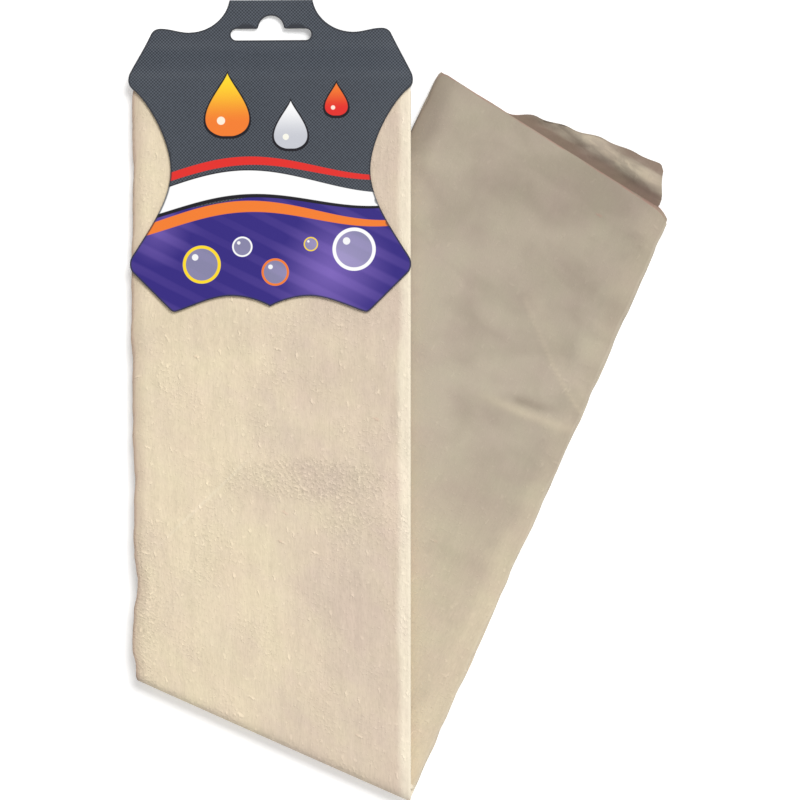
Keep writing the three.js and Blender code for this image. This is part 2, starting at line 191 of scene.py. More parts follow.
# Broad patches in the suede, in millimetres: the middle, half the size, and how much darker
FRONT_PATCHES = (
    ((-78, 27), (32, 14), 0.5),
    ((-54, -6), (22, 10), -0.2),
    ((-20, 4), (24, 12), 0.25),
    ((-18, -18), (20, 4), -0.15),
    ((-40, -32), (44, 9), 0.45),
    ((-20, -48), (17, 11), 0.2),
    ((-4, -6), (5, 7), 0.4),
    ((-58, -62), (22, 15), 0.25),
    ((-37, -75), (15, 12), -0.25),
    ((-82, -107), (28, 12), 0.4),
    ((-94, -92), (10, 7), 0.25),
    ((-74, -10), (8, 14), 0.25),
    ((-2, -38), (8, 22), -0.95),
    ((-1, -131), (6, 18), -0.4),
)
REAR_PATCHES = (
    ((63, 82), (32, 17), 0.45),
    ((25, 92), (12, 18), -0.45),
    ((14, 14), (17, 52), -0.5),
    ((17, -5), (12, 12), -0.25),
    ((69, 2), (12, 16), -0.45),
    ((50, 9), (30, 9), -0.5),
    ((79, 26), (8, 20), -0.4),
)
# Where the rear run is lighter, or darker if negative
REAR_LIGHTS = (
    ((11, 113), (11, 20), -0.1),
    ((30, 8), (18, 38), 0.05),
    ((60, -5), (18, 12), 0.04),
)
# Where the front run is rubbed up, and how much, and where it is frayed at its edge
RUBBED_PATCHES = (((-32, -32), (40, 9), 1.15), ((-10, -48), (22, 16), 0.6))
FRAYED_PATCH = ((-94, -80), (26, 44))
# Ends of the thin pale stroke across the front, in millimetres
STROKE = ((-54, -20), (-96, -60))
# Ends of a faint soft crease low on the rear run, in millimetres, drawn only as painted shade
CREASE = ((6, -55), (44, -70))

# The printed weave's repeat, and the softness of the print's edges
WEAVE = 1.3 * MM
PRINT_EDGE = 0.25 * MM
# The wavy bands: rise to the right, swing, pitch and phase of their line, and the longer pitch in
# which they get thicker and thinner
WAVE_RISE = 0.06
WAVE_SWING = 5 * MM
WAVE_PITCH = 118 * MM
WAVE_PHASE = 2.2
THICKNESS_PITCH = 2.1 * WAVE_PITCH
# The violet field: pitch, phase, swing and level of its upper edge, the pitch of its rays, and its
# glows, in millimetres: the middle, where they end, how softly, and how strong they are
FIELD_EDGE = (150 * MM, 0.7, 4.5 * MM, -80 * MM)
RAY_PITCH = 9 * MM
GLOWS = (((24, -108), 12, 34, 1), ((-44, -92), 6, 26, 0.7))
# The print, in millimetres from the middle of the neck's crease: the level, thickness and colour
# of each band, the middle, radius, light and deep colour of each drop, and the middle, radius and
# colour of each bubble
BANDS = ((-77.5, 11.5, "ink"), (-77, 9.6, "white"), (-68.5, 3.4, "red"), (-86.5, 4.6, "orange"))
DROPS = (
    ((-17, -42), 12.5, "yellow", "orange"),
    ((8, -50), 9.5, "white", "silver"),
    ((26, -40), 6.5, "orange", "red"),
)
BUBBLES = (
    ((-27, -105), 7.5, "yellow"),
    ((-11, -98), 4, "white"),
    ((2, -108), 5.4, "orange"),
    ((33, -99), 8.5, "white"),
    ((16, -97), 2.8, "yellow"),
)
# How deep the rings of points lie that carry the card's dark rim, how close to an edge, in shares
# of that, a point of theirs may come, and how fine and how far from the rings the board's grid is
RIM_DEPTHS = (0.3 * MM, 0.6 * MM, 1.0 * MM)
RING_CLEAR = 0.93
BOARD_GRID = 2.2 * MM
GRID_MARGIN = 0.5 * MM
# Points along each line and each curve of the hide's outline
LINE_POINTS = 14
CURVE_POINTS = 16
# Half of the hide's outline from the neck's top corner to the middle of the lower edge, in shares
# of half the card's width and of its height: six numbers are a curve with its handles, two a line
NECK_CORNER_SHARES = (0.294, 0)
HIDE_OUTLINE_SHARES = (
    (0.303, 0.045, 0.408, 0.102, 0.577, 0.104),
    (0.648, 0.104, 0.711, 0.0915, 0.775, 0.0915),
    (0.806, 0.0915, 0.827, 0.096, 0.842, 0.106),
    (0.989, 0.24),
    (1.004, 0.256, 1.004, 0.275, 0.972, 0.288),
    (0.859, 0.327, 0.701, 0.455, 0.701, 0.547),
    (0.701, 0.64, 0.831, 0.723, 0.975, 0.826),
    (0.993, 0.842, 0.989, 0.861, 0.968, 0.874),
    (0.711, 0.99),
    (0.69, 1, 0.676, 1.002, 0.655, 0.999),
    (0.549, 0.984, 0.408, 0.95, 0.275, 0.95),
    (0.169, 0.95, 0.063, 0.967, 0, 0.983),
)

# The floor's half side and glow, the lamps' places from the leather's middle and their widths, and
# how far the picture's middle stands off the leather's
FLOOR_REACH = 3.0
FLOOR_GLOW = 0.22
KEY_LAMP = ((1.3, 2.35, 4.6), 2.6)
FILL_LAMP = ((-0.6, -3.2, 3.8), 4)
SENSOR_WIDTH = 36
AIM_OFFSET = (1.3 * MM, -0.6 * MM)


def srgb(red, green, blue):
    """A colour as a screen shows it, from 0 to 255, as linear light from 0 to 1."""
    shown = np.array([red, green, blue]) / 255
    return tuple(np.where(shown <= 0.04045, shown / 12.92, ((shown + 0.055) / 1.055) ** 2.4))


def length(name, description, default):
    return FloatProperty(
        name=name, description=description, default=default, unit="LENGTH", precision=5
    )


def slope(name, description, degrees):
    return FloatProperty(
        name=name, description=description, default=math.radians(degrees), subtype="ANGLE"
    )


def colour(name, description, default):
    return FloatVectorProperty(
        name=name, description=description, default=default, subtype="COLOR", size=3, min=0, max=1
    )


class ChamoisSkinSettings(bpy.types.PropertyGroup):
    """Sizes and colours of the pleated and folded skin"""

    leather: length("Leather", "Thickness of the skin", 0.7 * MM)
    air: length("Air", "Gap between two plies", 0.2 * MM)
    width: length("Strip Width", "Width of the pleated strip", 110.7 * MM)
    fold_slope: slope("Fold Slope", "Slope of the fold across the strip", 22.4)
    pull_left: length("Left Pull", "How far the left end bulges past its radius", -1.2 * MM)
    pull_right: length("Right Pull", "How far the right end bulges past its radius", 1.1 * MM)
    bend_clearance: length("Bend Clearance", "Inner radius of the turn", 0.15 * MM)
    front_length: length("Front Length", "Left edge of the front run, from the fold up", 238.5 * MM)
    edge_wave: length("Edge Wave", "How far the raw edge wanders", 2.8 * MM)
    ply_step: length("Ply Step", "How far the plies stand in at the sides", 1.2 * MM)
    end_step: length("End Step", "How far the plies end short under the card", 2 * MM)
    corner_across: length("Corner Width", "Rounding of the right corners, across the strip", 8 * MM)
    corner_along: length("Corner Depth", "Rounding of the right corners, along the strip", 4.8 * MM)
    flap_flank: length("Flap Flank", "How far the flap's side stands in from the pleat", 3.9 * MM)
    rear_left: length("Rear Left Length", "Left edge of the rear run", 271.1 * MM)
    rear_right: length("Rear Right Length", "Right edge of the rear run", 251.6 * MM)
    left_lean: slope("Rear Left Lean", "Lean of the rear run's left edge", 26.75)
    right_lean: slope("Rear Right Lean", "Lean of the rear run's right edge", 24.07)
    reach: length("Flap Reach", "How far the longer ply shows past the upper one", 22 * MM)
    drape_start: length("Drape Start", "Where the front run starts to sink", 10 * MM)
    drape_run: length("Drape Run", "Width over which the front run sinks", 85 * MM)
    face: colour("Face", "Suede of the front run", srgb(232, 216, 186))
    blush: colour("Blush", "Cooler, pinkish patches in the suede", srgb(212, 194, 175))
    shade: colour("Rear Suede", "Suede of the rear run", srgb(183, 171, 153))
    shade_dark: colour("Rear Patches", "Darker patches of the rear run", srgb(160, 148, 132))
    # Warmer suede towards the fold and beside the pleat; also the colour of the painted highlight on
    # the creases' crests and the flap's ridge
    warm_and_highlight: colour("Near the Fold", "Suede of the rear run towards the fold", srgb(211, 196, 170))
    raw: colour("Raw Edge", "Cut edge of the skin", srgb(176, 152, 136))
    cut: colour("Cut End", "Thin reddish line of the cut ends", srgb(172, 122, 112))
    # Pale colour of the painted highlight along the pleat's fold edge, also used for the thin stroke
    # across the front
    pale: colour("Pleat Edge", "Stretched suede round a pleat", srgb(246, 235, 212))
    # Brown of the painted shade in the creases' hollow and next to the upper ply's end; the rear
    # run's raw edges, the flap's cut end and its outer edge darken to it too
    hollow: colour("Hollows", "Brown suede in the hollows of the longer ply", srgb(134, 116, 102))


class HeaderCardSettings(bpy.types.PropertyGroup):
    """Sizes and colours of the printed header card"""

    width: length("Width", "Width over the ears", 112.4 * MM)
    height: length("Height", "Height from the crease to the lower lobes", 123.6 * MM)
    reach: length("Reach", "How far the crease stands above the leather's end", 31.6 * MM)
    board: length("Board", "Thickness of the board", 0.4 * MM)
    leaf_gap: length("Leaf Gap", "Gap between the leaves at the neck", 0.3 * MM)
    neck_depth: length("Neck Depth", "How far down the leaves lie on each other", 17.2 * MM)
    leaf_rise: length("Leaf Rise", "Over what length the front leaf climbs the leather", 13.8 * MM)
    slot_width: length("Slot Width", "Length of the hanging slot", 32 * MM)
    slot_bar: length("Slot Bar", "Height of the slot's bar", 4.6 * MM)
    slot_height: length("Slot Height", "Height of the slot with its dome", 9.8 * MM)
    slot_dome: length("Slot Dome", "Width of the dome", 10.2 * MM)
    slot_fillet: length("Slot Fillet", "Fillet at the foot of the dome", 1 * MM)
    slot_depth: length("Slot Depth", "Lower edge of the slot, below the crease", 16 * MM)
    glue: length("Glue", "Thickness of the glue spots", 0.4 * MM)
    seat_gap: length("Seat Gap", "Clearance on each side of the glue", 0.3 * MM)
    ground: colour("Ground", "Dark grey of the woven ground", srgb(43, 47, 54))
    thread: colour("Thread", "Light grey of the woven ground", srgb(90, 96, 105))
    field: colour("Field", "Violet field over the lower part", srgb(50, 37, 126))
    glow: colour("Glow", "Lighter violet in the field", srgb(132, 106, 192))
    orange: colour("Orange", "Orange of the print", srgb(240, 124, 44))
    silver: colour("Silver", "Pale grey of the print", srgb(196, 198, 206))
    yellow: colour("Yellow", "Yellow of the print", srgb(252, 216, 40))
    red: colour("Red", "Red of the print", srgb(224, 44, 38))
    white: colour("White", "White of the print", srgb(250, 250, 250))
    ink: colour("Ink", "Dark outlines of the print", srgb(22, 20, 28))
    rim: colour("Rim", "Dark rim along the cut edges", srgb(48, 50, 56))


class StageSettings(bpy.types.PropertyGroup):
    """Floor, camera and lamps"""

    lens: FloatProperty(name="Lens", description="Focal length", default=200, unit="CAMERA")
    view_width: length("View Width", "Width of the picture at the leather", 315.7 * MM)
    floor: colour("Floor", "Colour of the floor", srgb(255, 255, 255))
    sky: FloatProperty(name="Sky", description="Strength of the even light", default=0.34, min=0)
    key: FloatProperty(
        name="Key", description="Strength of the main lamp, in watts", default=208, min=0
    )
    fill: FloatProperty(
        name="Fill", description="Strength of the second lamp, in watts", default=44, min=0
    )


def ease(value, low, high):
    """Smooth step: 0 up to low, 1 from high on, and 3t^2 - 2t^3 between."""
    share = np.clip((value - low) / (high - low), 0, 1)
    return share * share * (3 - 2 * share)


def mix(start, end, share):
    return start + (end - start) * share


def along(table, share):
    """A value between the entries of a table, joined by smooth steps, at a share of its length."""
    place = np.clip(share, 0, 1) * (len(table) - 1)
    index = np.minimum(place.astype(int), len(table) - 2)
    values = np.asarray(table, float)
    return mix(values[index], values[index + 1], ease(place - index, 0, 1))


def soft_noise(x, y, cell, seed):
    """Random values on a square lattice of one cell, joined by smooth steps, from -1 to 1."""
    count = NOISE_TABLE
    table = np.random.default_rng(seed).uniform(-1, 1, (count, count))
    column = np.floor(x / cell).astype(int)
    row = np.floor(y / cell).astype(int)
    right = ease(x / cell - column, 0, 1)
    up = ease(y / cell - row, 0, 1)
    low = mix(table[column % count, row % count], table[(column + 1) % count, row % count], right)
    row = row + 1
    high = mix(table[column % count, row % count], table[(column + 1) % count, row % count], right)
    return mix(low, high, up)


def ripples(x, y, layers):
    """A sum of soft noises in metres, from a table of strengths, stretches, cells and seeds."""
    return sum(
        strength * MM * soft_noise(x * across, y * down, cell * MM, seed)
        for strength, across, down, cell, seed in layers
    )


def ridge(x, y, line, width):
    """1 on a line of points, falling off as a bell curve with the distance from it."""
    nearest = np.full(np.broadcast(x, y).shape, np.inf)
    for (x0, y0), (x1, y1) in zip(line[:-1], line[1:]):
        dx, dy = x1 - x0, y1 - y0
        t = np.clip(((x - x0) * dx + (y - y0) * dy) / (dx * dx + dy * dy), 0, 1)
        nearest = np.minimum(nearest, np.hypot(x - x0 - t * dx, y - y0 - t * dy))
    return np.exp(-((nearest / width) ** 2))


class Skin:
    """The pleated skin's form, as the frame has it: its cross section and the runs' places."""

    def __init__(self, settings, card):
        s = self.s = settings
        self.pitch = s.leather + s.air
        self.stack = PLIES * self.pitch - s.air
        self.turn_radius = self.stack + s.bend_clearance
        self.lift = card.board + card.glue + 2 * card.seat_gap
        self.standoff = card.glue + 2 * card.seat_gap
        low, high = (np.array(corner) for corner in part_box("header_card"))
        self.card_top = s.front_length + card.reach
        self.card_bottom = self.card_top - card.height
        self.origin = ((low[0] + high[0]) / 2, high[1] - self.card_top)
        self.slope = math.tan(s.fold_slope)
        self.fold_cos = math.cos(s.fold_slope)
        self.fold_sin = math.sin(s.fold_slope)

    def section(self, samples):
        """Middle line of the pleated skin: straight plies joined by half circles, right then left.

        Columns: place across, height, the two parts of the face's normal, half the thickness, ply,
        and the distance from the first raw edge, measured along the skin. Each ply's samples are
        the numbers of steps over its width, beside its right end and at that end.
        """
        s = self.s
        radius = self.pitch / 2
        outer = radius + s.leather / 2
        rows = []
        for ply in range(PLIES):
            even = ply % 2 == 0
            height = (PLIES - 1 - ply) * self.pitch + s.leather / 2
            raw = ply in (0, PLIES - 1)
            left = s.ply_step * LEFT_STEP_SHARES[ply] + (0 if raw else outer)
            right = s.width - s.ply_step * RIGHT_STEP_SHARES[ply] - outer
            x = right - uneven_rows((right - left, *PLEAT_ZONES, 0), samples[ply])
            if raw:
                x = np.concatenate([left + s.leather * np.array(RAW_EDGE_SHARES), x[1:]])
            half = np.full(len(x), s.leather / 2)
            if raw:
                inside = np.clip((x - left) / (s.leather / 2), 0, 1)
                half *= np.maximum(np.sqrt(1 - (1 - inside) ** 2), RAW_EDGE_THINNEST)
            if not even:
                x, half = x[::-1], half[::-1]
            side = 1 if even else -1
            rows.append(np.stack([
                x, np.full_like(x, height), np.zeros_like(x), np.full_like(x, side), half,
                np.full_like(x, ply),
            ], axis=1))
            if ply < PLIES - 1:
                turned = np.linspace(0, 1, PLEAT_STEPS + 1)[1:-1]
                angle = side * np.pi * (0.5 - turned)
                edge = right if even else left
                rows.append(np.stack([
                    edge + side * radius * np.cos(angle),
                    height - radius + side * radius * np.sin(angle),
                    np.cos(angle),
                    np.sin(angle),
                    np.full_like(angle, s.leather / 2),
                    ply + turned,
                ], axis=1))
        table = np.concatenate(rows)
        steps = np.hypot(np.diff(table[:, 0]), np.diff(table[:, 1]))
        girth = np.concatenate([[0], np.cumsum(steps)])
        return np.column_stack([table, girth])

    def fold_edge(self, share):
        """A point on the outer edge of the fold, at a share of the strip's width from the left."""
        x = mix(-self.s.width / 2, self.s.width / 2, share)
        return x, -(x + self.s.width / 2) * self.slope

    def inside_fold(self, share, depth, skew):
        """A point inside the fold's outer edge by a depth, moved along the fold by the skew."""
        x, y = self.fold_edge(share)
        x = x + self.fold_sin * depth - self.fold_cos * skew * depth
        y = y + self.fold_cos * depth + self.fold_sin * skew * depth
        return x, y

    def rear_skew(self, share):
        """How far the rear run's lines lean from square to the fold."""
        return -np.tan(mix(self.s.left_lean, self.s.right_lean, share) - self.s.fold_slope)

    def rest_height(self, x, y):
        """Top of the rear run, sinking to the table to the left of it."""
        past = (x - self.fold_edge(0)[0]) * -math.cos(self.s.left_lean)
        past = past + y * math.sin(self.s.left_lean)
        sunk = ease(past, self.s.drape_start, self.s.drape_start + self.s.drape_run)
        return (self.stack + 2 * self.s.bend_clearance) * (1 - sunk)

    def card_lift(self, y):
        """How far the back leaf and its glue lift the leather, in the card's reach."""
        edge = self.card_bottom - LIFT_MARGIN
        return self.lift * ease(y, edge - LIFT_RUN, edge)

    def corner_cut(self, share):
        """How far a rounded corner is cut back from a run's end, a quarter ellipse on each side."""
        cut = 0
        for inward, wide, deep in ((1 - share, 1, 1), (share, *LEFT_CORNER)):
            off = np.clip(1 - inward * self.s.width / (self.s.corner_across * wide), 0, 1)
            cut = cut + self.s.corner_along * deep * (1 - np.sqrt(np.maximum(1 - off * off, 0)))
        return cut

    def longer_ply(self, ply):
        """1 on the longer ply, 0 on the others."""
        return ease(ply, PLIES - 2.6, PLIES - 2) * (1 - ease(ply, PLIES - 2, PLIES - 1.5))

    def flank(self, share):
        """0 at the pleat and 1 inside the longer ply's own side, which rises steeply beside it."""
        inside = (1 - share) * self.s.width - self.s.flap_flank
        return ease(inside, -0.9 * MM, 0.9 * MM)

    def raw_wave(self, run, ply):
        """Sideways wander of the left edge: a broad wave, and a fine one that each ply has."""
        fine = ripples(run * self.s.front_length, ply * PLY_SHIFT, RAW_EDGE_WAVES)
        notch = ease(run, *NOTCH_START) - ease(run, *NOTCH_END)
        return self.s.edge_wave * (along(EDGE_WAVE_SHARES, run) + NOTCH_DEPTH * notch) + fine

    def front(self, x, height, ply, run):
        """Front run: from the turn straight up under the card, draped over the rear run."""
        s = self.s
        share = x / s.width
        start_x, start_y = self.inside_fold(share, self.turn_radius, self.slope)
        end_x = mix(-s.width / 2, s.width / 2, share)
        end_y = s.front_length - s.end_step * along(FRONT_END_SHARES, ply / (PLIES - 1))
        end_y = end_y - self.corner_cut(share)
        plan_x = mix(start_x, end_x, run)
        plan_y = mix(start_y, end_y, run)
        wave = mix(s.edge_wave * EDGE_WAVE_SHARES[0], self.raw_wave(run, ply), ease(run, 0, 0.03))
        plan_x = plan_x + wave * (1 - share) ** WANDER_POWER
        away = ease(run * s.front_length, 0, RELIEF_RUN)
        card_edge = (self.card_bottom - CARD_MARGIN, self.card_bottom + CARD_MARGIN)
        under_card = 1 - PRESSED_FLAT * ease(plan_y, *card_edge)
        swells = ripples(plan_x, plan_y, FRONT_SWELLS)
        sunk = ((x, *EDGE_DROOP), (s.width - x, *PLEAT_DROOP))
        droop = sum(-depth * (1 - ease(inward, 0, over)) for inward, depth, over in sunk)
        relief = (swells * under_card + droop) * away
        z = self.rest_height(plan_x, plan_y) + self.card_lift(plan_y)
        return plan_x, plan_y, z + height * (1 + relief / self.stack)

    def turn(self, x, height, ply, turned):
        """The half turn at the fold, a pressed one: each layer follows its own superellipse."""
        share = x / self.s.width
        angle = np.pi * turned
        radius = self.s.bend_clearance + height
        sine = np.abs(np.sin(angle)) ** PRESSED
        cosine = np.sign(np.cos(angle)) * np.abs(np.cos(angle)) ** PRESSED
        pulled = 1 + mix(self.s.pull_left, self.s.pull_right, share) / self.turn_radius
        depth = self.turn_radius - radius * sine * pulled
        skew = mix(self.slope, self.rear_skew(share), (1 - cosine) / 2)
        plan_x, plan_y = self.inside_fold(share, depth, skew)
        wave = self.s.edge_wave * EDGE_WAVE_SHARES[0] * (1 - ease(turned, 0.45, 1))
        plan_x = plan_x + wave * (1 - share) ** WANDER_POWER
        return plan_x, plan_y, self.turn_radius + radius * cosine

    def rear(self, x, height, ply, run):
        """Rear run: from the turn to its free end, flat on the table, its longer ply on show."""
        s = self.s
        share = x / s.width
        start_x, start_y = self.inside_fold(share, self.turn_radius, self.rear_skew(share))
        edges = ((0, s.rear_left, s.left_lean), (1, s.rear_right, s.right_lean))
        (left_x, left_y), (right_x, right_y) = (
            np.add(self.fold_edge(edge), (size * math.sin(lean), size * math.cos(lean)))
            for edge, size, lean in edges
        )
        plan_x = mix(start_x, mix(left_x, right_x, share), run)
        plan_y = mix(start_y, mix(left_y, right_y, share), run)
        # Its end: the plies that go on, the rounded corners and the ragged cut
        longer = self.longer_ply(ply) * self.flank(share)
        ends = np.maximum(along(REAR_END_SHARES, ply / (PLIES - 1)) * (ply < PLIES - 2), longer)
        grown = s.reach * ends * along(REACH_SHARES, share)
        lean = mix(s.left_lean, s.right_lean, share)
        back = self.corner_cut(share) * ease(run, CORNER_START, 1) * (1 - longer)
        ragged = ripples(x, ply * END_PLY_SHIFT, REAR_END_WAVES) * ease(run, RAGGED_START, 1)
        plan_x = plan_x + (ragged - back) * np.sin(lean)
        plan_y = plan_y + (ragged - back) * np.cos(lean) + grown * ease(run, FLAP_START, 1)
        # Its sides: they wander, the lowest ply is tucked in, and the longer one's side too
        side = ripples(run * s.rear_right, ply * PLY_SHIFT, REAR_SIDE_WAVES)
        plan_x = plan_x + side * ease(run, 0, 0.05) * (share ** 3 - (1 - share) ** 3)
        tucked = (1 - ease(ply, 0, 1)) * (1 - share) ** 3 * ease(run, *TUCK_RUN)
        plan_x = plan_x + TUCK * tucked
        out = self.past_end(share, run) / MM
        pinch = along(PINCH, out / PINCH_SPAN) * ease(out, -6, 0)
        beside = ease(share, 0.78, 0.94) * (1 - ease(share, 0.982, 1)) * self.longer_ply(ply)
        plan_x = plan_x - MM * pinch * beside
        # Its height, which stays low under the front run
        z = self.stack - height
        away = ease(run, 0, 0.06)
        relief = self.rear_relief(share, run, plan_x, plan_y)
        open_air = ease(plan_x, s.width / 2, s.width / 2 + UNDER_FRONT_REACH)
        relief = mix(np.minimum(relief, UNDER_FRONT), relief, open_air) * away * (z / self.stack)
        flap = self.flap(share, ply, run, plan_x, plan_y)
        return plan_x, plan_y, z + relief + flap

    def rear_relief(self, share, run, x, y):
        """Soft swells, and two creases that run in from the right edge."""
        thin, broad, _, _ = self.creases(share, run)
        valley = self.creases(share, run + VALLEY_SHIFT / self.s.rear_left)[2]
        risen = sum(high * form for high, form in zip(CREASE_HEIGHTS, (thin, broad, valley)))
        return ripples(x, y, REAR_SWELLS) + risen

    def creases(self, share, run):
        """How much a point is on the thin crease, the broad one, the hollow and the lee."""
        wide, tall = self.s.width, self.s.rear_left
        across, down = share * wide, run * tall
        lines = [[(u * wide, v * tall) for u, v in line] for line in CREASES]
        thin, broad, hollow = (
            ridge(across, down, line, width) for line, width in zip(lines, CREASE_WIDTHS)
        )
        broad = broad * ease(share, 0.58, 0.76)
        hollow = hollow * (1 - 0.9 * ease(share, 0.84, 0.95))
        lee = ridge(across - LEE_OFFSET[0], down - LEE_OFFSET[1], lines[0], LEE_WIDTH)
        return thin, broad, hollow, lee

    def past_end(self, share, run):
        """How far a point of the longer ply lies past the upper ply's end, negative if short."""
        grown = self.s.reach * along(REACH_SHARES, share) * self.flank(share)
        return grown * ease(run, FLAP_START, 1) - self.s.rear_right * (1 - run)

    def flap(self, share, ply, run, x, y):
        """The longer ply past the upper one's end: it dips in the shadow, rises and dips again."""
        out = self.past_end(share, run) / MM
        wave = sum(rise * ease(out, start, end) for rise, start, end in FLAP_WAVES)
        only = np.clip(1 - np.abs(ply - (PLIES - 2)) / 0.9, 0, 1)
        bent = MM * (out + 5 * soft_noise(share, 0, 0.09, 44))
        folds = MM * 0.5 * soft_noise(share * 42 * MM, bent, 2.6 * MM, 43) * ease(out, 4, 8)
        ripple = (ripples(x, y, FLAP_RIPPLES) + folds) * (1 - ease(share, 0.9, 0.95))
        return only * (MM * wave * (0.7 + 0.4 * share) + ripple * ease(out, 1, 5))

    def rear_marks(self, share, ply, run):
        """Marks for the creases' painted highlight and shade, and the way out over the longer ply.
        """
        thin, broad, hollow, lee = self.creases(share, run)
        hem = np.clip(self.past_end(share, run), 0, None) * self.longer_ply(ply)
        crest = np.maximum((0.5 + 0.4 * ease(run, 0.74, 0.68)) * thin + 0.3 * lee, broad)
        return {"crest": crest, "hollow": hollow, "hem": hem}


def closed_sheet(name, face, back, flat, marks):
    """A mesh of two grids of one size, the two sides of a sheet, joined round their four edges.

    flat is each grid point's place on the flat sheet, for the UV map, and marks holds one number
    for each grid point under each name.
    """
    rows, columns = face.shape[:2]
    count = rows * columns
    index = np.arange(count).reshape(rows, columns)
    quads = [grid_quads(index), grid_quads(index + count)[:, ::-1]]
    for line in (index[0, ::-1], index[-1], index[:, 0], index[::-1, -1]):
        corners = [line[:-1] + count, line[1:] + count, line[1:], line[:-1]]
        quads.append(np.stack(corners, axis=1))
    points = np.concatenate([face.reshape(-1, 3), back.reshape(-1, 3)])
    faces = np.concatenate(quads)
    place = np.concatenate([flat.reshape(-1, 2)] * 2)
    values = {key: np.tile(mark.reshape(-1), 2) for key, mark in marks.items()}
    return mesh_object(name, points, faces, place, values)


def grid_quads(index):
    """The four corners of each cell of a grid of point numbers."""
    corners = [index[:-1, :-1], index[:-1, 1:], index[1:, 1:], index[1:, :-1]]
    return np.stack([corner.reshape(-1) for corner in corners], axis=1)


def mesh_object(name, points, faces, place, values):
    """An object at the origin whose closed mesh faces outwards, with a UV map in metres."""
    a, b, c = (points[faces[:, k]] for k in range(3))
    volume = np.einsum("ij,ij->i", a, np.cross(b, c)).sum()
    if faces.shape[1] == 4:
        d = points[faces[:, 3]]
        volume += np.einsum("ij,ij->i", a, np.cross(c, d)).sum()
    if volume < 0:
        faces = faces[:, ::-1]
    mesh = bpy.data.meshes.new(name)
    sides = faces.shape[1]
    mesh.vertices.add(len(points))
    mesh.vertices.foreach_set("co", points.astype(np.float32).reshape(-1))
    mesh.loops.add(faces.size)
    mesh.loops.foreach_set("vertex_index", faces.astype(np.int32).reshape(-1))
    mesh.polygons.add(len(faces))
    mesh.polygons.foreach_set("loop_start", np.arange(0, faces.size, sides, dtype=np.int32))
    mesh.update(calc_edges=True)
    layer = mesh.uv_layers.new(name="flat")
    layer.data.foreach_set("uv", place[faces.reshape(-1)].astype(np.float32).reshape(-1))
    for key, value in values.items():
        attribute = mesh.attributes.new(key, "FLOAT", "POINT")
        attribute.data.foreach_set("value", value.astype(np.float32))
    mesh.validate()
    mesh.shade_smooth()
    mesh.set_sharp_from_angle(angle=SHARP_ANGLE)
    made = bpy.data.objects.new(name, mesh)
    bpy.context.scene.collection.objects.link(made)
    return made


def skin_piece(name, skin, place, samples, rows, run_length, ended=True, more_marks=None):
    """One stretch of the skin: its section carried along a run by a function of place.

    Each side is offset by half a thickness in the section, so both follow the same run.
    """
    table = skin.section(samples)
    x, height, normal_x, normal_h, half, ply, girth = (table[:, k][None, :] for k in range(7))
    run = rows[:, None]
    shape = (len(rows), x.size)
    sides = []
    for side in (1, -1):
        side_x = x + side * half * normal_x
        side_h = height + side * half * normal_h
        grid = place(np.broadcast_to(side_x, shape), side_h, ply, run)
        grid = np.stack([np.broadcast_to(part, shape) for part in grid], axis=-1)
        sides.append(grid + (*skin.origin, 0))
    flat = [np.broadcast_to(girth, shape), np.broadcast_to(run * run_length, shape)]
    flat = np.stack(flat, axis=-1)
    marks = {
        "from_raw_edge": np.broadcast_to(np.minimum(girth, girth.max() - girth), shape),
        "from_pleat": np.broadcast_to(skin.s.width - x, shape),
        "run": np.broadcast_to(run, shape),
        "from_end": np.broadcast_to((1 - run) * run_length if ended else 1.0, shape),
        "across": np.broadcast_to(x / skin.s.width, shape),
    }
    if more_marks:
        more = more_marks(x / skin.s.width, ply, run)
        marks.update({key: np.broadcast_to(mark, shape) for key, mark in more.items()})
    return closed_sheet(name, sides[0], sides[1], flat, marks)


def forward(operation):
    """A method of Wire that adds a Math node with the wire as its first value."""
    return lambda self, *others: self.math(operation, self, *others)


def backward(operation):
    """A method of Wire that adds a Math node with the wire as its second value."""
    return lambda self, other: self.math(operation, other, self)


class Wire:
    """A shader value: Python's operators on it add Math nodes."""

    def __init__(self, paint, socket):
        self.paint = paint
        self.socket = socket

    def math(self, operation, *values, clamp=False):
        settings = {"operation": operation, "use_clamp": clamp}
        return self.paint.node("ShaderNodeMath", settings, dict(enumerate(values)))

    __add__, __radd__ = forward("ADD"), backward("ADD")
    __sub__, __rsub__ = forward("SUBTRACT"), backward("SUBTRACT")
    __mul__, __rmul__ = forward("MULTIPLY"), backward("MULTIPLY")
    __truediv__, __pow__ = forward("DIVIDE"), forward("POWER")
    root, sine, size = forward("SQRT"), forward("SINE"), forward("ABSOLUTE")
    at_least = forward("MAXIMUM")

    def __neg__(self):
        return self * -1

    def clamped(self):
        return self.math("ADD", self, 0, clamp=True)

    def over(self, edge, soft):
        """0 below an edge and 1 above it, over a soft width."""
        return self.paint.node(
            "ShaderNodeMapRange",
            {"interpolation_type": "SMOOTHSTEP"},
            {"Value": self, "From Min": edge - soft / 2, "From Max": edge + soft / 2},
        )


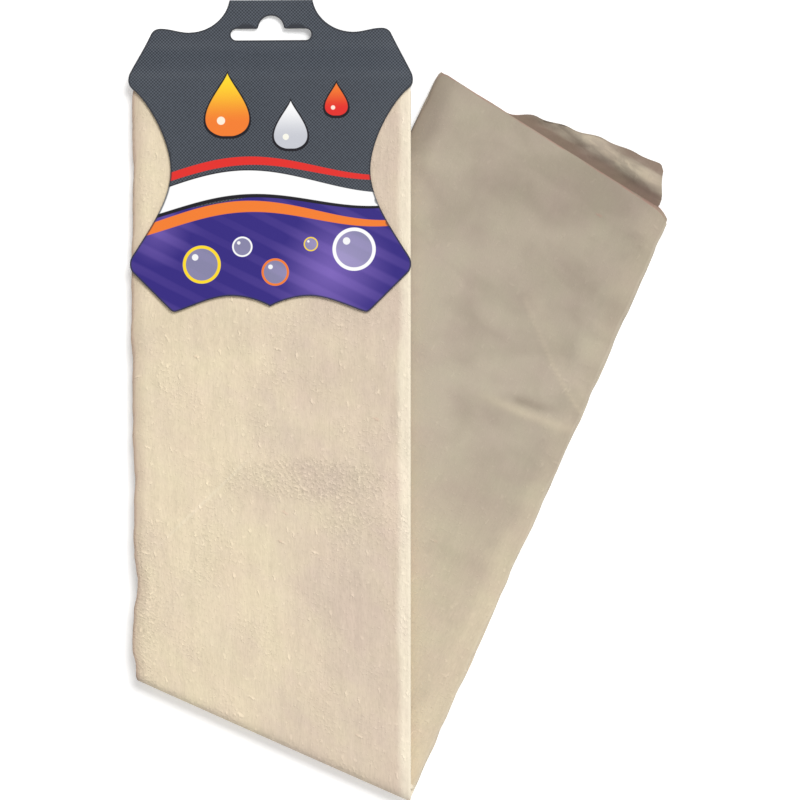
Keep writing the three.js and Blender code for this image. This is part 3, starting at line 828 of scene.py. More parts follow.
class Paint:
    """A new node material, and the one way in which its nodes are added."""

    def __init__(self, name):
        self.material = bpy.data.materials.new(name)
        self.material.use_nodes = True
        self.tree = self.material.node_tree
        self.shader = next(n for n in self.tree.nodes if n.type == "BSDF_PRINCIPLED")

    def node(self, kind, settings=None, inputs=None, output=0):
        made = self.tree.nodes.new(kind)
        for key, value in (settings or {}).items():
            setattr(made, key, value)
        for key, value in (inputs or {}).items():
            self.feed(made.inputs[key], value)
        return Wire(self, made.outputs[output])

    def feed(self, socket, value):
        if isinstance(value, Wire):
            self.tree.links.new(value.socket, socket)
        elif socket.type == "RGBA" and len(value) == 3:
            socket.default_value = (*value, 1)
        else:
            socket.default_value = value

    def finish(self, **inputs):
        for key, value in inputs.items():
            self.feed(self.shader.inputs[key.replace("_", " ")], value)
        return self.material

    def mark(self, name):
        return self.node("ShaderNodeAttribute", {"attribute_name": name}, output="Fac")

    def flat(self):
        """The two coordinates of the flat sheet, in metres."""
        uv = self.node("ShaderNodeUVMap", {"uv_map": "flat"})
        split = self.node("ShaderNodeSeparateXYZ", inputs={0: uv})
        return split, self.node_output(split, 1)

    def object_place(self):
        """The first two coordinates of a place on the object, in metres."""
        place = self.node("ShaderNodeTexCoord", output="Object")
        split = self.node("ShaderNodeSeparateXYZ", inputs={0: place})
        return split, self.node_output(split, 1)

    def node_output(self, wire, output):
        return Wire(self, wire.socket.node.outputs[output])

    def vector(self, x, y):
        return self.node("ShaderNodeCombineXYZ", inputs={0: x, 1: y})

    def noise(self, vector, scale, detail=2.0, roughness=0.5, distortion=0.0):
        values = {"Vector": vector, "Scale": scale, "Detail": detail}
        values.update({"Roughness": roughness, "Distortion": distortion})
        return self.node("ShaderNodeTexNoise", {"noise_dimensions": "3D"}, values)

    def cells(self, vector, scale):
        """Distance to the middle of the nearest cell of a scattered pattern."""
        inputs = {"Vector": vector, "Scale": scale}
        return self.node("ShaderNodeTexVoronoi", {"voronoi_dimensions": "2D"}, inputs)

    def blend(self, factor, first, second):
        """A mix of two colours."""
        inputs = {0: factor, 6: first, 7: second}
        return self.node("ShaderNodeMix", {"data_type": "RGBA"}, inputs, output=2)

    def bump(self, height, distance, strength):
        inputs = {"Height": height, "Distance": distance, "Strength": strength}
        return self.node("ShaderNodeBump", inputs=inputs)


class Suede(Paint):
    """Undyed chamois: clouded suede with a lengthwise nap, crumbs of loose fibre and pits."""

    def __init__(self, name, settings):
        super().__init__(name)
        self.s = settings
        across, down = self.flat()
        self.place = self.vector(across, down)
        self.clouds = self.noise(self.place, *CLOUDS)
        self.blotches = self.noise(self.place, *BLOTCHES)
        self.strands = self.noise(self.vector(across, down * STRAND_STRETCH), *STRANDS)
        self.nap = self.noise(self.vector(across, down * NAP_STRETCH), *NAP)
        self.grit = self.noise(self.place, *GRIT)
        self.lumps = self.noise(self.place, *LUMPS)
        self.drift = self.noise(self.place, *DRIFT)
        self.rough_areas = self.noise(self.place, *ROUGH_AREAS).over(0.54, 0.24)
        self.flecks, self.longer = self.loose_fibres(across, down)
        self.x, self.y = self.object_place()
        self.bent_x = self.x + (self.clouds - 0.5) * (26 * MM)
        self.bent_y = self.y + (self.blotches - 0.5) * (9 * MM)
        self.run, self.share = self.mark("run"), self.mark("across")
        self.from_pleat, self.from_raw = self.mark("from_pleat"), self.mark("from_raw_edge")

    def loose_fibres(self, across, down):
        """All scattered flecks, and the longer of them alone, frayed by the finer patterns."""
        x = across + (self.grit - 0.5) * (2.2 * MM)
        y = down + (self.nap - 0.5) * (1.6 * MM)
        flecks = self.specks(self.vector(x, y * 0.5 + x * 0.35), *FLECKS)
        longer = self.specks(self.vector(x * 0.42 + y * 0.25, y), *LONG_FIBRES)
        dust = self.specks(self.vector(x, y * 0.8 - x * 0.2), *DUST)
        return flecks + longer + dust * 0.55, longer

    def specks(self, place, scale, radius, rarity):
        """1 on a few small spots, one in some cells of a scattered pattern."""
        cells = self.cells(place, scale)
        colour_of_cell = self.node_output(cells, "Color")
        chance = self.node("ShaderNodeSeparateColor", inputs={0: colour_of_cell}, output=1)
        return (1 - cells.over(radius, radius * 1.1)) * chance.over(rarity, 0.1)

    def patch(self, middle, half):
        """1 in the middle of an oval in millimetres, falling off to 0 beyond its clouded edge."""
        u = (self.bent_x - middle[0] * MM) / (half[0] * MM)
        v = (self.bent_y - middle[1] * MM) / (half[1] * MM)
        return 1 - (u * u + v * v).over(0.6, 1.2)

    def patches(self, table):
        """The sum of broad soft patches, each of its own strength."""
        total = 0.0
        for middle, half, strength in table:
            total = self.patch(middle, half) * strength + total
        return total

    def dressed(self, base, rough, coarse, lift, swing, edge, edge_darkening, cut, rim):
        """The finished suede: a run's own colour with what every stretch of the skin has.

        rough is 1 where it is rubbed up, coarse the strength of its grain, lift how much lighter
        it is, swing how far its hue drifts, edge the colour of a darker band along its raw edges
        and the argument after it the strength of that band, cut the colour of its cut end, and rim
        the strength of the painted highlight along the pleat's fold edge.
        """
        crumbs = (self.lumps + rough * 0.085).over(0.665, 0.12)
        pits = (1 - (self.lumps - rough * 0.03).over(0.36, 0.12)) * rough
        fine = (self.nap - 0.5) * 0.16 + (self.strands - 0.5) * 0.11
        fine = fine + (self.grit - 0.5) * 0.05 + (self.blotches - 0.5) * 0.1
        loose = crumbs * (0.055 + rough * 0.05) - pits * 0.06 + self.flecks * 0.11
        value = (fine + loose) * coarse + (1 + lift)
        hue = (self.drift - 0.5) * swing + 0.5
        inputs = {"Hue": hue, "Value": value, "Color": base}
        base = self.node("ShaderNodeHueSaturation", inputs=inputs)
        rolled = (1 - self.from_raw.over(3 * MM, 6 * MM)) * 0.42
        rolled = rolled + (1 - self.from_raw.over(0.95 * MM, 1.3 * MM)) * 0.42
        rolled = (rolled + (self.nap - 0.5) * 0.3 * rolled).clamped()
        base = self.blend(rolled * edge_darkening, base, edge)
        at_end = 1 - self.mark("from_end").over(0.45 * MM, 0.5 * MM)
        base = self.blend(at_end * self.blotches.over(0.47, 0.3) * 0.6, base, cut)
        base = self.blend(self.longer * self.drift.over(0.56, 0.1) * 0.3, base, self.s.cut)
        # Painted highlight: the pleat's fold edge made pale, as if it caught the light
        pleat_highlight = 1 - self.from_pleat.over(1 * MM, 1.2 * MM)
        base = self.blend(pleat_highlight * rim, base, self.s.pale)
        raised = self.lumps * rough * 1.8 + crumbs * 0.3 + self.flecks * 0.6
        relief = (self.nap * 0.4 + self.strands * 0.5 + self.grit * 0.15 + raised) * coarse
        return self.finish(
            Base_Color=base, Roughness=0.95, Normal=self.bump(relief, 0.3 * MM, 0.7),
            Sheen_Weight=0.12, Sheen_Roughness=0.6, Specular_IOR_Level=0.15,
        )


def stroke(x, y, ends, width):
    """1 along a straight line between two points in millimetres, falling off over a width."""
    (x0, y0), (x1, y1) = ((u * MM, v * MM) for u, v in ends)
    size = math.hypot(x1 - x0, y1 - y0)
    dx, dy = (x1 - x0) / size, (y1 - y0) / size
    forward = (x - x0) * dx + (y - y0) * dy
    aside = ((x - x0) * -dy + (y - y0) * dx).size()
    held = 1 - (forward - size / 2).size().over(size * 0.4, size * 0.4)
    return (1 - aside.over(width / 2, width)) * held


def front_suede(settings):
    """The front run's suede: cream, pinker to the right, rubbed up, with a painted pleat highlight.
    """
    suede = Suede("front suede", settings)
    frayed = suede.patch(*FRAYED_PATCH)
    rubbed = suede.patches(RUBBED_PATCHES) + frayed * 0.2
    low_edge = (1 - suede.from_raw.over(7 * MM, 12 * MM)) * (1 - suede.run.over(0.22, 0.12))
    tone = suede.clouds.over(0.54, 0.3) * 0.3 + suede.blotches.over(0.56, 0.3) * 0.26
    tone = tone + (suede.share + (suede.clouds - 0.5) * 0.5).over(0.62, 0.5) * 0.68 + 0.08
    base = suede.blend(tone.clamped(), settings.face, settings.blush)
    # Painted highlight: a pale band along the pleat, as if its rounded fold caught the light; the
    # thin pale stroke is mixed in
    band = 1 - (suede.from_pleat + (suede.clouds - 0.5) * (6 * MM)).over(4.4 * MM, 3.4 * MM)
    stretched = stroke(suede.x, suede.y, STROKE, 1.1 * MM)
    pale = (band * 0.66 + stretched * 0.2).clamped()
    return suede.dressed(
        suede.blend(pale, base, settings.pale),
        rough=(suede.rough_areas * 0.55 + rubbed + low_edge * 0.9).clamped(),
        coarse=frayed * 0.25 + 1.7,
        lift=suede.patches(FRONT_PATCHES) * -0.095,
        swing=0.03, edge=settings.raw, edge_darkening=1.0, cut=settings.cut, rim=0.8,
    )


def rear_suede(settings, border):
    """The rear run's suede, with painted light in a band where the front run's edge shades it."""
    suede = Suede("rear suede", settings)
    low = 1 - suede.run.over(0.4, 0.46)
    hem = suede.mark("hem")
    beside = (suede.x - border).size()
    # Painted light: a paler band beside the front run's edge, lifting the shade that edge casts on
    # the rear run
    band = (1 - beside.over(9 * MM, 14 * MM)) * 0.045 + (1 - beside.over(3 * MM, 5 * MM)) * 0.05
    # Painted shade of a faint crease, which the mesh does not have
    crease = stroke(suede.bent_x, suede.bent_y, CREASE, 5 * MM)
    dull = hem.over(2 * MM, 2 * MM)
    return suede.dressed(
        rear_colour(suede, low, hem),
        rough=suede.rough_areas * 0.35,
        coarse=low * 0.7 + suede.share.over(0.85, 0.2) * 0.25 + 0.5,
        lift=band * (1 - low * 0.8) - crease * 0.05 + suede.patches(REAR_LIGHTS),
        swing=0.05, edge=settings.hollow, edge_darkening=0.6,
        cut=suede.blend(dull, settings.cut, settings.hollow), rim=0.25,
    )


def rear_colour(suede, low, hem):
    """The rear run's colour: greyer, smeared across, warmer to the fold, painted shade in its
    hollows.
    """
    settings, run, share = suede.s, suede.run, suede.share
    wide = suede.node("ShaderNodeMapping", inputs={"Vector": suede.place, "Scale": (0.6, 1, 1)})
    smears = suede.noise(wide, *SMEARS)
    # Darker towards the far end at both sides, most at the left, where it is painted shade beside
    # the front run and the card
    sides = share.over(0.75, 0.6) * 0.6 + (1 - share.over(0.06, 0.15)) * 1.3
    tone = suede.clouds.over(0.52, 0.4) * 0.4 + smears.over(0.54, 0.4) * (0.34 - low * 0.2)
    tone = tone + run.over(0.85, 0.34) * sides + suede.patches(REAR_PATCHES) + 0.08
    base = suede.blend(tone.clamped(), settings.shade, settings.shade_dark)
    beside_pleat = 1 - (suede.from_pleat + (smears - 0.5) * (12 * MM)).over(8 * MM, 10 * MM)
    band = beside_pleat * (0.22 + (1 - run.over(0.46, 0.3)) * 0.2)
    base = suede.blend((low * 0.8 + band).clamped(), base, settings.warm_and_highlight)
    # Painted highlight on the creases' crests and painted shade in the hollow beside them
    base = suede.blend(suede.mark("crest") * 0.36, base, settings.warm_and_highlight)
    base = suede.blend(suede.mark("hollow") * 0.25, base, settings.hollow)
    # On the longer ply: painted shade in a band next to the upper ply's end, a darker band towards
    # its outer edge, and painted highlight on the ridge between
    streaks = suede.noise(suede.vector(share * 0.03, hem), *STREAKS)
    uneven = (smears - 0.5) * (6 * MM) + (streaks - 0.5) * (4 * MM)
    frayed = hem + uneven * hem.over(1.5 * MM, 3 * MM)
    inner = frayed.over(0.3 * MM, 0.5 * MM) * (1 - frayed.over(6.6 * MM, 5 * MM))
    outer = frayed.over(14 * MM, 4 * MM) * share.over(0.7, 0.3)
    base = suede.blend((inner + outer * 0.85).clamped(), base, settings.hollow)
    crest = frayed.over(8.5 * MM, 3 * MM) * (1 - frayed.over(13 * MM, 3 * MM))
    return suede.blend(crest * (0.1 + streaks.over(0.5, 0.2) * 0.3), base, settings.warm_and_highlight)


def glue_material():
    """Soft pressed glue: pale, slightly glossy, a little uneven."""
    paint = Paint("soft glue")
    lumps = paint.noise(paint.node("ShaderNodeTexCoord", output="Object"), 500)
    base = paint.blend(lumps, srgb(232, 226, 207), srgb(214, 204, 180))
    return paint.finish(
        Base_Color=base, Roughness=0.35 + lumps * 0.2, Normal=paint.bump(lumps, 0.2 * MM, 0.4)
    )


def ring_distance(x, y, centre):
    """Distance from a centre that is given in millimetres."""
    dx, dy = x - centre[0] * MM, y - centre[1] * MM
    return (dx * dx + dy * dy).root()


def ring(x, y, centre, inner, outer):
    """1 between two circles round a centre, all in millimetres."""
    radius = ring_distance(x, y, centre)
    band = 1 - radius.over(outer * MM, PRINT_EDGE)
    return band * radius.over(inner * MM, PRINT_EDGE) if inner > 0 else band


def drop(x, y, centre, radius):
    """1 inside a drop: half as wide as R sqrt(1 - v^2) ((1 - v) / 2)^0.8, v from foot to tip."""
    v = (y - centre[1] * MM) / (radius * MM)
    half = (1 - v * v).root() * (((1 - v) / 2) ** 0.8) * (radius * MM)
    return (half - (x - centre[0] * MM).size()).over(0.0, PRINT_EDGE) * (1 - v * v).over(0.03, 0.05)


def wave(x, pitch, phase=0.0):
    """A sine wave of a given pitch in metres, from -1 to 1."""
    return (x * (2 * math.pi / pitch) + phase).sine()


def wavy_band(x, y, level, thick):
    """1 within a wavy band: a sine line on a slope, with a thickness that varies along it."""
    line = wave(x, WAVE_PITCH, WAVE_PHASE) * WAVE_SWING + x * WAVE_RISE + level * MM
    half = wave(x, THICKNESS_PITCH, WAVE_PHASE) * 0.4 + 0.6
    return (half * (thick * MM / 2) - (y - line).size()).over(0.0, PRINT_EDGE)


def printed_board(settings):
    """Coated print: a woven grey ground, a violet field, flowing bands, water drops and bubbles."""
    paint = Paint("printed board")
    x, t = paint.flat()
    y = -t.size()
    flat = paint.vector(x, y)
    thread = wave(x, WEAVE) * wave(y, WEAVE) * 0.5 + 0.5
    grain = paint.noise(flat, 700)
    mist = paint.noise(flat, 26)
    woven = (thread * 1.3 - 0.17 + (grain - 0.5) * 0.4 + (mist - 0.5) * 0.3).clamped()
    ground = paint.blend(woven, settings.ground, settings.thread)
    pitch, phase, swing, level = FIELD_EDGE
    below = (wave(x, pitch, phase) * swing + level - y).over(0.0, 0.3 * MM)
    glow = 0.0
    for centre, end, soft, strength in GLOWS:
        faded = ring_distance(x, y, centre).over(end * MM, soft * MM)
        glow = (1 - faded) * strength + glow
    rays = wave(x * 0.5 + y, RAY_PITCH).over(0.2, 1.2) * 0.16
    lit = (glow * 0.8 - 0.06 + rays + (mist - 0.5) * 0.3).clamped()
    base = paint.blend(below, ground, paint.blend(lit, settings.field, settings.glow))
    for level, thick, shade in BANDS:
        base = paint.blend(wavy_band(x, y, level, thick), base, getattr(settings, shade))
    for centre, radius, light, deep in DROPS:
        base = paint.blend(drop(x, y, centre, radius + 1.1), base, settings.ink)
        fade = (centre[1] * MM - y + radius * 0.2 * MM).over(0.0, radius * 1.6 * MM)
        body = paint.blend(fade, getattr(settings, light), getattr(settings, deep))
        base = paint.blend(drop(x, y, centre, radius), base, body)
        glint = (centre[0] - radius * 0.2, centre[1] - radius * 0.5)
        base = paint.blend(ring(x, y, glint, 0, radius * 0.13) * 0.8, base, srgb(255, 253, 236))
    for centre, radius, shade in BUBBLES:
        base = paint.blend(ring(x, y, centre, 0, radius) * 0.22, base, settings.white)
        skin = getattr(settings, shade)
        base = paint.blend(ring(x, y, centre, radius * 0.84, radius), base, skin)
        glint = (centre[0] - radius * 0.35, centre[1] + radius * 0.38)
        base = paint.blend(ring(x, y, glint, 0, radius * 0.17) * 0.9, base, settings.white)
    base = paint.blend(paint.mark("rim").over(0.4, 0.6) * 0.85, base, settings.rim)
    pulp = paint.blend(grain, srgb(206, 204, 198), srgb(186, 184, 178))
    base = paint.blend(paint.mark("inside").over(0.3, 0.3), base, pulp)
    relief = thread * 0.25 * (1 - below) + grain * 0.25
    return paint.finish(
        Base_Color=base, Roughness=0.48 + grain * 0.14, Normal=paint.bump(relief, 0.06 * MM, 0.4),
        Coat_Weight=0.03, Coat_Roughness=0.3, Specular_IOR_Level=0.18,
    )


def hide_half():
    """Points of the half outline: each curve is a cubic with its two handles."""
    points = [np.array([NECK_CORNER_SHARES])]
    for row in HIDE_OUTLINE_SHARES:
        stretch = np.array(row, float).reshape(-1, 2)
        first = points[-1][-1]
        if len(stretch) == 1:
            t = np.linspace(0, 1, LINE_POINTS)[1:, None]
            points.append(mix(first, stretch[0], t))
        else:
            t = np.linspace(0, 1, CURVE_POINTS)[1:, None]
            a, b, c = stretch
            middle = 3 * a * t * (1 - t) ** 2 + 3 * b * t * t * (1 - t)
            points.append(first * (1 - t) ** 3 + middle + c * t ** 3)
    return np.concatenate(points)


def slot_outline(s):
    """The slot's half from the middle of its lower edge to the top of its dome, then mirrored."""
    low = -s.slot_depth
    high = low + s.slot_bar
    end_radius = s.slot_bar / 2
    straight = s.slot_width / 2 - end_radius
    dome = s.slot_dome / 2
    dome_middle = low + s.slot_height - dome
    spring = math.asin(s.slot_fillet / dome)
    turn = np.linspace(-np.pi / 2, np.pi / 2, 13)
    end = np.stack([np.cos(turn), 1 + np.sin(turn)], axis=1) * end_radius + (straight, low)
    t = np.linspace(0, 1, 6)[:, None]
    foot = np.array([dome + s.slot_fillet, high])
    knee = np.array([dome, high])
    top = np.array([dome * math.cos(spring), dome_middle + s.slot_fillet])
    fillet = foot * (1 - t) ** 2 + 2 * knee * t * (1 - t) + top * t * t
    turn = np.linspace(spring, np.pi / 2, 12)[1:]
    arch = np.stack([dome * np.cos(turn), dome_middle + dome * np.sin(turn)], axis=1)
    bar = np.stack([np.linspace(0, straight, 8)[:-1], np.full(7, low)], axis=1)
    half = np.concatenate([bar, end, fillet, arch])
    return np.concatenate([half, half[-2:0:-1] * (-1, 1)])


class Board:
    """The header card's board: a flat blank of two leaves, folded at the neck, on the skin."""

    def __init__(self, settings, skin):
        self.s = settings
        self.skin = skin
        self.bend = (settings.leaf_gap + settings.board) / 2
        self.half_crease = self.bend * np.pi / 2
        self.crease_depth = settings.board + settings.leaf_gap / 2

    def blank(self):
        """Points and triangles of the flat blank: its outline, its two slots and a grid inside."""
        s = self.s
        half = hide_half() * (s.width / 2, s.height)
        half[:, 1] -= self.crease_depth - self.half_crease
        half[0, 1] = self.half_crease
        left = half[::-1] * (-1, 1)
        crossing = np.array([[1, 0.0]]) * half[0, 0]
        leaf = np.concatenate([half, left[1:]])
        outline = np.concatenate([leaf, -crossing, leaf[::-1] * (1, -1), crossing])
        slot = slot_outline(s)
        slot[:, 1] = -slot[:, 1] - self.crease_depth + self.half_crease
        loops = [outline, slot, slot * (1, -1)]
        columns = np.arange(-s.width / 2, s.width / 2, BOARD_GRID)
        rows = np.concatenate([
            np.linspace(0, self.half_crease, 5),
            np.arange(self.half_crease + 1 * MM, s.height, BOARD_GRID),
        ])
        rows = np.concatenate([-rows[:0:-1], rows])
        grid = np.stack(np.meshgrid(columns, rows, indexing="ij"), axis=-1).reshape(-1, 2)
        keep = inside(grid, outline)
        for loop in loops:
            keep &= distance_to(grid, loop) > RIM_DEPTHS[-1] + GRID_MARGIN
        for loop in loops[1:]:
            keep &= ~inside(grid, loop)
        rings = [self.ring_inside(loop, depth, loops) for loop in loops for depth in RIM_DEPTHS]
        points = np.concatenate([*loops, *rings, grid[keep]])
        edges = []
        base = 0
        for loop in loops:
            index = np.arange(len(loop)) + base
            edges += list(zip(index.tolist(), np.roll(index, -1).tolist()))
            base += len(loop)
        found = delaunay_2d_cdt([Vector(p) for p in points.tolist()], edges, [], 1, 1e-7, False)
        points = np.array([tuple(p) for p in found[0]])
        triangles = np.array(found[2])
        middle = points[triangles].mean(axis=1)
        good = inside(middle, outline)
        for loop in loops[1:]:
            good &= ~inside(middle, loop)
        edge_distance = np.min([distance_to(points, loop) for loop in loops], axis=0)
        return points, triangles[good], edge_distance

    def ring_inside(self, loop, depth, loops):
        """A loop's points moved into the board by a depth, without those nearer to an edge."""
        along_loop = np.roll(loop, -1, axis=0) - np.roll(loop, 1, axis=0)
        out = np.stack([-along_loop[:, 1], along_loop[:, 0]], axis=1)
        out /= np.maximum(np.linalg.norm(out, axis=1), 1e-9)[:, None]
        both = [loop + side * depth * out for side in (1, -1)]
        covered = [
            inside(points, loops[0]) & ~inside(points, loops[1]) & ~inside(points, loops[2])
            for points in both
        ]
        inward = int(covered[1].sum() > covered[0].sum())
        moved = both[inward]
        nearest = np.min([distance_to(moved, other) for other in loops], axis=0)
        return moved[(nearest > RING_CLEAR * depth) & covered[inward]]

    def fold(self, x, t):
        """A blank point's place and normal: flat back leaf, half circle, neck, rise, face."""
        along_line, height, slope_here = self.line(t)
        plan_y = self.skin.card_top + along_line
        base = self.skin.rest_height(x, plan_y)
        size = np.hypot(1, slope_here)
        front = t > self.half_crease
        back = t < -self.half_crease
        angle = t / self.bend
        normal_y = np.where(front, slope_here / size, np.where(back, 0, np.cos(angle)))
        normal_z = np.where(front, 1 / size, np.where(back, -1, np.sin(angle)))
        place = np.stack([x, plan_y, height + base], axis=1)
        normal = np.stack([np.zeros_like(x), normal_y, normal_z], axis=1)
        return place, normal

    def line(self, t):
        """The board's middle line: place along the leaf, height, and its rise per unit of depth."""
        s = self.s
        back_height = s.board / 2
        neck_height = back_height + s.board + s.leaf_gap
        face_height = self.skin.lift + self.skin.stack + self.skin.standoff + s.board / 2
        angle = np.clip(t / self.bend, -np.pi / 2, np.pi / 2)
        depth = np.abs(t) - self.half_crease + self.crease_depth
        climb = ease(depth, s.neck_depth, s.neck_depth + s.leaf_rise)
        share = np.clip((depth - s.neck_depth) / s.leaf_rise, 0, 1)
        steep = (face_height - neck_height) * 6 * share * (1 - share) / s.leaf_rise
        front_height = mix(neck_height, face_height, climb)
        in_crease = np.abs(t) <= self.half_crease
        crease_y = -self.crease_depth + self.bend * np.cos(angle)
        crease_z = back_height + self.bend + self.bend * np.sin(angle)
        along_line = np.where(in_crease, crease_y, -depth)
        height = np.where(in_crease, crease_z, np.where(t > 0, front_height, back_height))
        return along_line, height, np.where(t > 0, steep, 0)


def inside(points, loop):
    """Whether each point is inside a closed loop, by the number of edges to its right."""
    x, y = points[:, 0:1], points[:, 1:2]
    x0, y0 = loop[:, 0], loop[:, 1]
    x1, y1 = np.roll(x0, -1), np.roll(y0, -1)
    crosses = (y0 > y) != (y1 > y)
    rise = np.where(y1 == y0, 1, y1 - y0)
    return (crosses & (x < (x1 - x0) * (y - y0) / rise + x0)).sum(axis=1) % 2 == 1


def distance_to(points, loop):
    """Distance from each point to the nearest edge of a closed loop."""
    start, end = loop, np.roll(loop, -1, axis=0)
    run = end - start
    offset = points[:, None, :] - start[None]
    t = np.clip((offset * run).sum(-1) / np.maximum((run * run).sum(-1), 1e-18), 0, 1)
    return np.linalg.norm(offset - t[..., None] * run, axis=-1).min(axis=1)


def card_mesh(settings, skin):
    """The folded blank, thickened to both sides and closed along every cut edge."""
    board = Board(settings, skin)
    flat, triangles, edge_distance = board.blank()
    place, normal = board.fold(flat[:, 0], flat[:, 1])
    place = place + (*skin.origin, 0)
    outer = place + normal * settings.board / 2
    inner = place - normal * settings.board / 2
    count = len(flat)
    pairs = np.concatenate([triangles[:, [0, 1]], triangles[:, [1, 2]], triangles[:, [2, 0]]])
    keys = np.sort(pairs, axis=1)
    _, first, uses = np.unique(keys, axis=0, return_index=True, return_counts=True)
    rim = pairs[first[uses == 1]]
    walls = np.concatenate([
        np.stack([rim[:, 1], rim[:, 0], rim[:, 0] + count], axis=1),
        np.stack([rim[:, 1], rim[:, 0] + count, rim[:, 1] + count], axis=1),
    ])
    faces = np.concatenate([triangles, triangles[:, ::-1] + count, walls])
    points = np.concatenate([outer, inner])
    values = {
        "rim": np.tile(1 - ease(edge_distance, 0, RIM_DEPTHS[-1]), 2),
        "inside": np.repeat([0.0, 1.0], count),
    }
    return mesh_object("printed_card", points, faces, np.tile(flat, (2, 1)), values)


def dress(piece, material):
    """Gives a piece its only material, in a slot of its own."""
    piece.data.materials.clear()
    piece.data.materials.append(material)


def uneven_rows(stops, counts):
    """Places along a run, with its own even spacing between each two stops."""
    parts = [np.linspace(a, b, n, endpoint=False) for a, b, n in zip(stops[:-1], stops[1:], counts)]
    return np.concatenate([*parts, [stops[-1]]])


class ChamoisOperator(bpy.types.Operator):
    bl_options = {"REGISTER", "UNDO"}

    def skin(self, context):
        return Skin(context.scene.chamois_skin, context.scene.chamois_card)


class CHAMOIS_OT_rear_run(ChamoisOperator):
    """Build the rear run of the skin, which lies on the table"""

    bl_idname = "chamois.rear_run"
    bl_label = "Rear Run"

    def execute(self, context):
        skin = self.skin(context)
        rows = uneven_rows(*REAR_ROWS)
        piece = skin_piece(
            "rear_run", skin, skin.rear, REAR_SAMPLES, rows, skin.s.rear_left,
            more_marks=skin.rear_marks,
        )
        border = skin.origin[0] + skin.s.width / 2
        dress(piece, rear_suede(skin.s, border))
        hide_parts("chamois_rear_run")
        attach(piece, "root")
        return {"FINISHED"}


class CHAMOIS_OT_front_run(ChamoisOperator):
    """Build the front run of the skin and the turn at its fold"""

    bl_idname = "chamois.front_run"
    bl_label = "Front Run and Fold"

    def execute(self, context):
        skin = self.skin(context)
        material = front_suede(skin.s)
        mean = skin.s.front_length + skin.s.width * skin.slope / 2
        rows = np.linspace(0, 1, FRONT_ROWS)
        front = skin_piece("front_run", skin, skin.front, FRONT_SAMPLES, rows, mean)
        dress(front, material)
        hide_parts("chamois_front_run")
        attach(front, "front")
        around = np.pi * skin.turn_radius
        rows = np.linspace(0, 1, TURN_ROWS)
        turn = skin_piece(
            "fold_turn", skin, skin.turn, FRONT_SAMPLES, rows, -around, ended=False
        )
        dress(turn, material)
        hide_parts("chamois_bottom_turn")
        x, y = skin.inside_fold(0.5, skin.turn_radius, 0)
        x, y = x + skin.origin[0], y + skin.origin[1]
        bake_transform(turn)
        return {"FINISHED"}


class CHAMOIS_OT_header_card(ChamoisOperator):
    """Build the folded and printed header card"""

    bl_idname = "chamois.header_card"
    bl_label = "Header Card"

    def execute(self, context):
        card = context.scene.chamois_card
        piece = card_mesh(card, self.skin(context))
        dress(piece, printed_board(card))
        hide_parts("header_card")
        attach(piece, "front")
        return {"FINISHED"}


class CHAMOIS_OT_glue_spots(bpy.types.Operator):
    """Give the spots of glue their finish"""

    bl_idname = "chamois.glue_spots"
    bl_label = "Glue Spots"

    def execute(self, context):
        material = glue_material()
        for name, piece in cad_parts.items():
            if name.startswith("glue_dot"):
                for slot in piece.material_slots:
                    slot.material = material
        return {"FINISHED"}


class CHAMOIS_OT_stage(bpy.types.Operator):
    """Add the floor, the lamps and the camera"""

    bl_idname = "chamois.stage"
    bl_label = "Stage"

    def execute(self, context):
        stage = context.scene.chamois_stage
        add_floor(stage)
        add_sky(stage)
        low, high = (np.array(corner) for corner in cad_box)
        middle = (low + high) / 2
        add_lamp("key_lamp", middle, *KEY_LAMP, stage.key)
        add_lamp("fill_lamp", middle, *FILL_LAMP, stage.fill)
        add_camera(stage, middle)
        context.scene.view_settings.view_transform = "Standard"
        return {"FINISHED"}


def add_floor(stage):
    """A pale floor that the camera and glossy surfaces see white, with the leather's shadow."""
    side = FLOOR_REACH
    corners = [(-side, -side, 0), (side, -side, 0), (side, side, 0), (-side, side, 0)]
    mesh = bpy.data.meshes.new("floor")
    mesh.from_pydata(corners, [], [(0, 1, 2, 3)])
    floor = bpy.data.objects.new("floor", mesh)
    bpy.context.scene.collection.objects.link(floor)
    paint = Paint("pale floor")
    rays = paint.node("ShaderNodeLightPath", output="Is Camera Ray")
    seen = rays.at_least(paint.node_output(rays, "Is Glossy Ray"))
    seen = seen.at_least(paint.node_output(rays, "Is Transmission Ray"))
    shine = paint.blend(seen, (0.0, 0.0, 0.0), (1.0, 1.0, 1.0))
    paint.finish(
        Base_Color=stage.floor, Roughness=0.9, Specular_IOR_Level=0.0,
        Emission_Color=shine, Emission_Strength=FLOOR_GLOW,
    )
    mesh.materials.append(paint.material)


def add_sky(stage):
    """An even white light from all sides."""
    world = bpy.data.worlds.new("even light")
    world.use_nodes = True
    shine = world.node_tree.nodes["Background"]
    shine.inputs["Color"].default_value = (1, 1, 1, 1)
    shine.inputs["Strength"].default_value = stage.sky
    bpy.context.scene.world = world


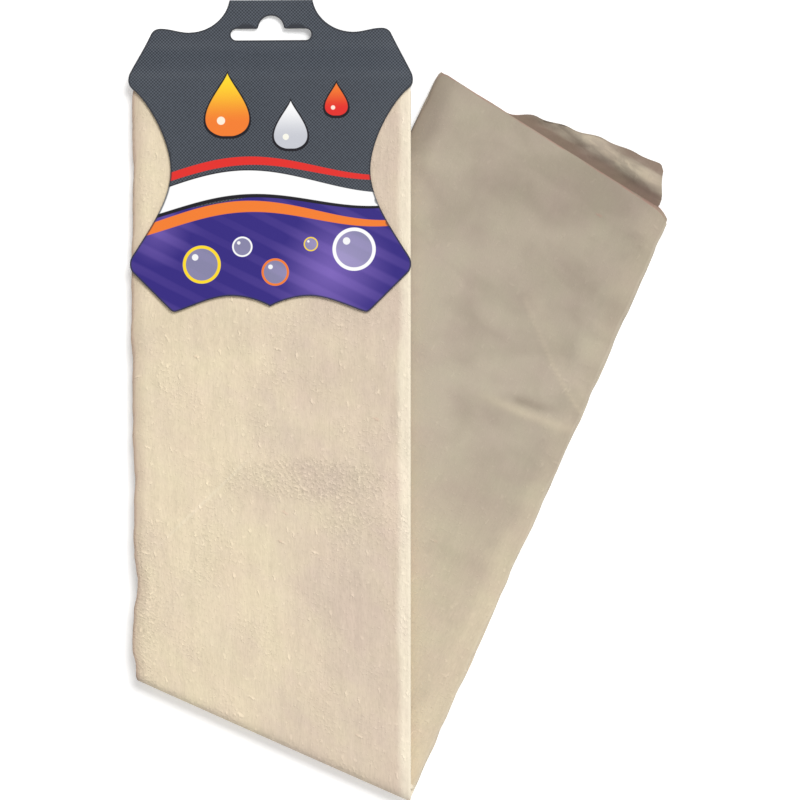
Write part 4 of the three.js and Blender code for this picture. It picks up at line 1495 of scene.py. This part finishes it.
def add_lamp(name, aim, offset, size, power):
    """A round soft lamp that stands off from what it is aimed at."""
    light = bpy.data.lights.new(name, "AREA")
    light.shape = "DISK"
    light.energy = power
    light.size = size
    lamp = bpy.data.objects.new(name, light)
    lamp.location = Vector(aim) + Vector(offset)
    lamp.rotation_euler = (-Vector(offset)).to_track_quat("-Z", "Y").to_euler()
    bpy.context.scene.collection.objects.link(lamp)


def add_camera(stage, middle):
    """Straight down, with the picture as wide as asked at the height of the leather."""
    camera = bpy.data.cameras.new("photograph")
    camera.lens = stage.lens
    camera.sensor_width = SENSOR_WIDTH
    away = stage.view_width * stage.lens / camera.sensor_width
    seen = bpy.data.objects.new("photograph", camera)
    seen.location = middle + (*AIM_OFFSET, away)
    bpy.context.scene.collection.objects.link(seen)
    bpy.context.scene.camera = seen


class CHAMOIS_PT_tools(bpy.types.Panel):
    """Sizes, colours and the pieces that can be built"""

    bl_idname = "CHAMOIS_PT_tools"
    bl_label = "Chamois Leather"
    bl_space_type = "VIEW_3D"
    bl_region_type = "UI"
    bl_category = "Chamois"

    def draw(self, context):
        for group in ("chamois_skin", "chamois_card", "chamois_stage"):
            box = self.layout.box()
            settings = getattr(context.scene, group)
            for name in settings.__annotations__:
                box.prop(settings, name)
        for operator in OPERATORS:
            self.layout.operator(operator.bl_idname)


OPERATORS = (
    CHAMOIS_OT_rear_run,
    CHAMOIS_OT_front_run,
    CHAMOIS_OT_header_card,
    CHAMOIS_OT_glue_spots,
    CHAMOIS_OT_stage,
)
CLASSES = (ChamoisSkinSettings, HeaderCardSettings, StageSettings, *OPERATORS, CHAMOIS_PT_tools)


def register():
    for cls in CLASSES:
        bpy.utils.register_class(cls)
    bpy.types.Scene.chamois_skin = PointerProperty(type=ChamoisSkinSettings)
    bpy.types.Scene.chamois_card = PointerProperty(type=HeaderCardSettings)
    bpy.types.Scene.chamois_stage = PointerProperty(type=StageSettings)


def unregister():
    del bpy.types.Scene.chamois_stage
    del bpy.types.Scene.chamois_card
    del bpy.types.Scene.chamois_skin
    for cls in reversed(CLASSES):
        bpy.utils.unregister_class(cls)


def main():
    register()
    bpy.ops.chamois.rear_run()
    bpy.ops.chamois.front_run()
    bpy.ops.chamois.header_card()
    bpy.ops.chamois.glue_spots()
    bpy.ops.chamois.stage()
    bpy.context.view_layer.update()


if __name__ == "__main__":
    main()
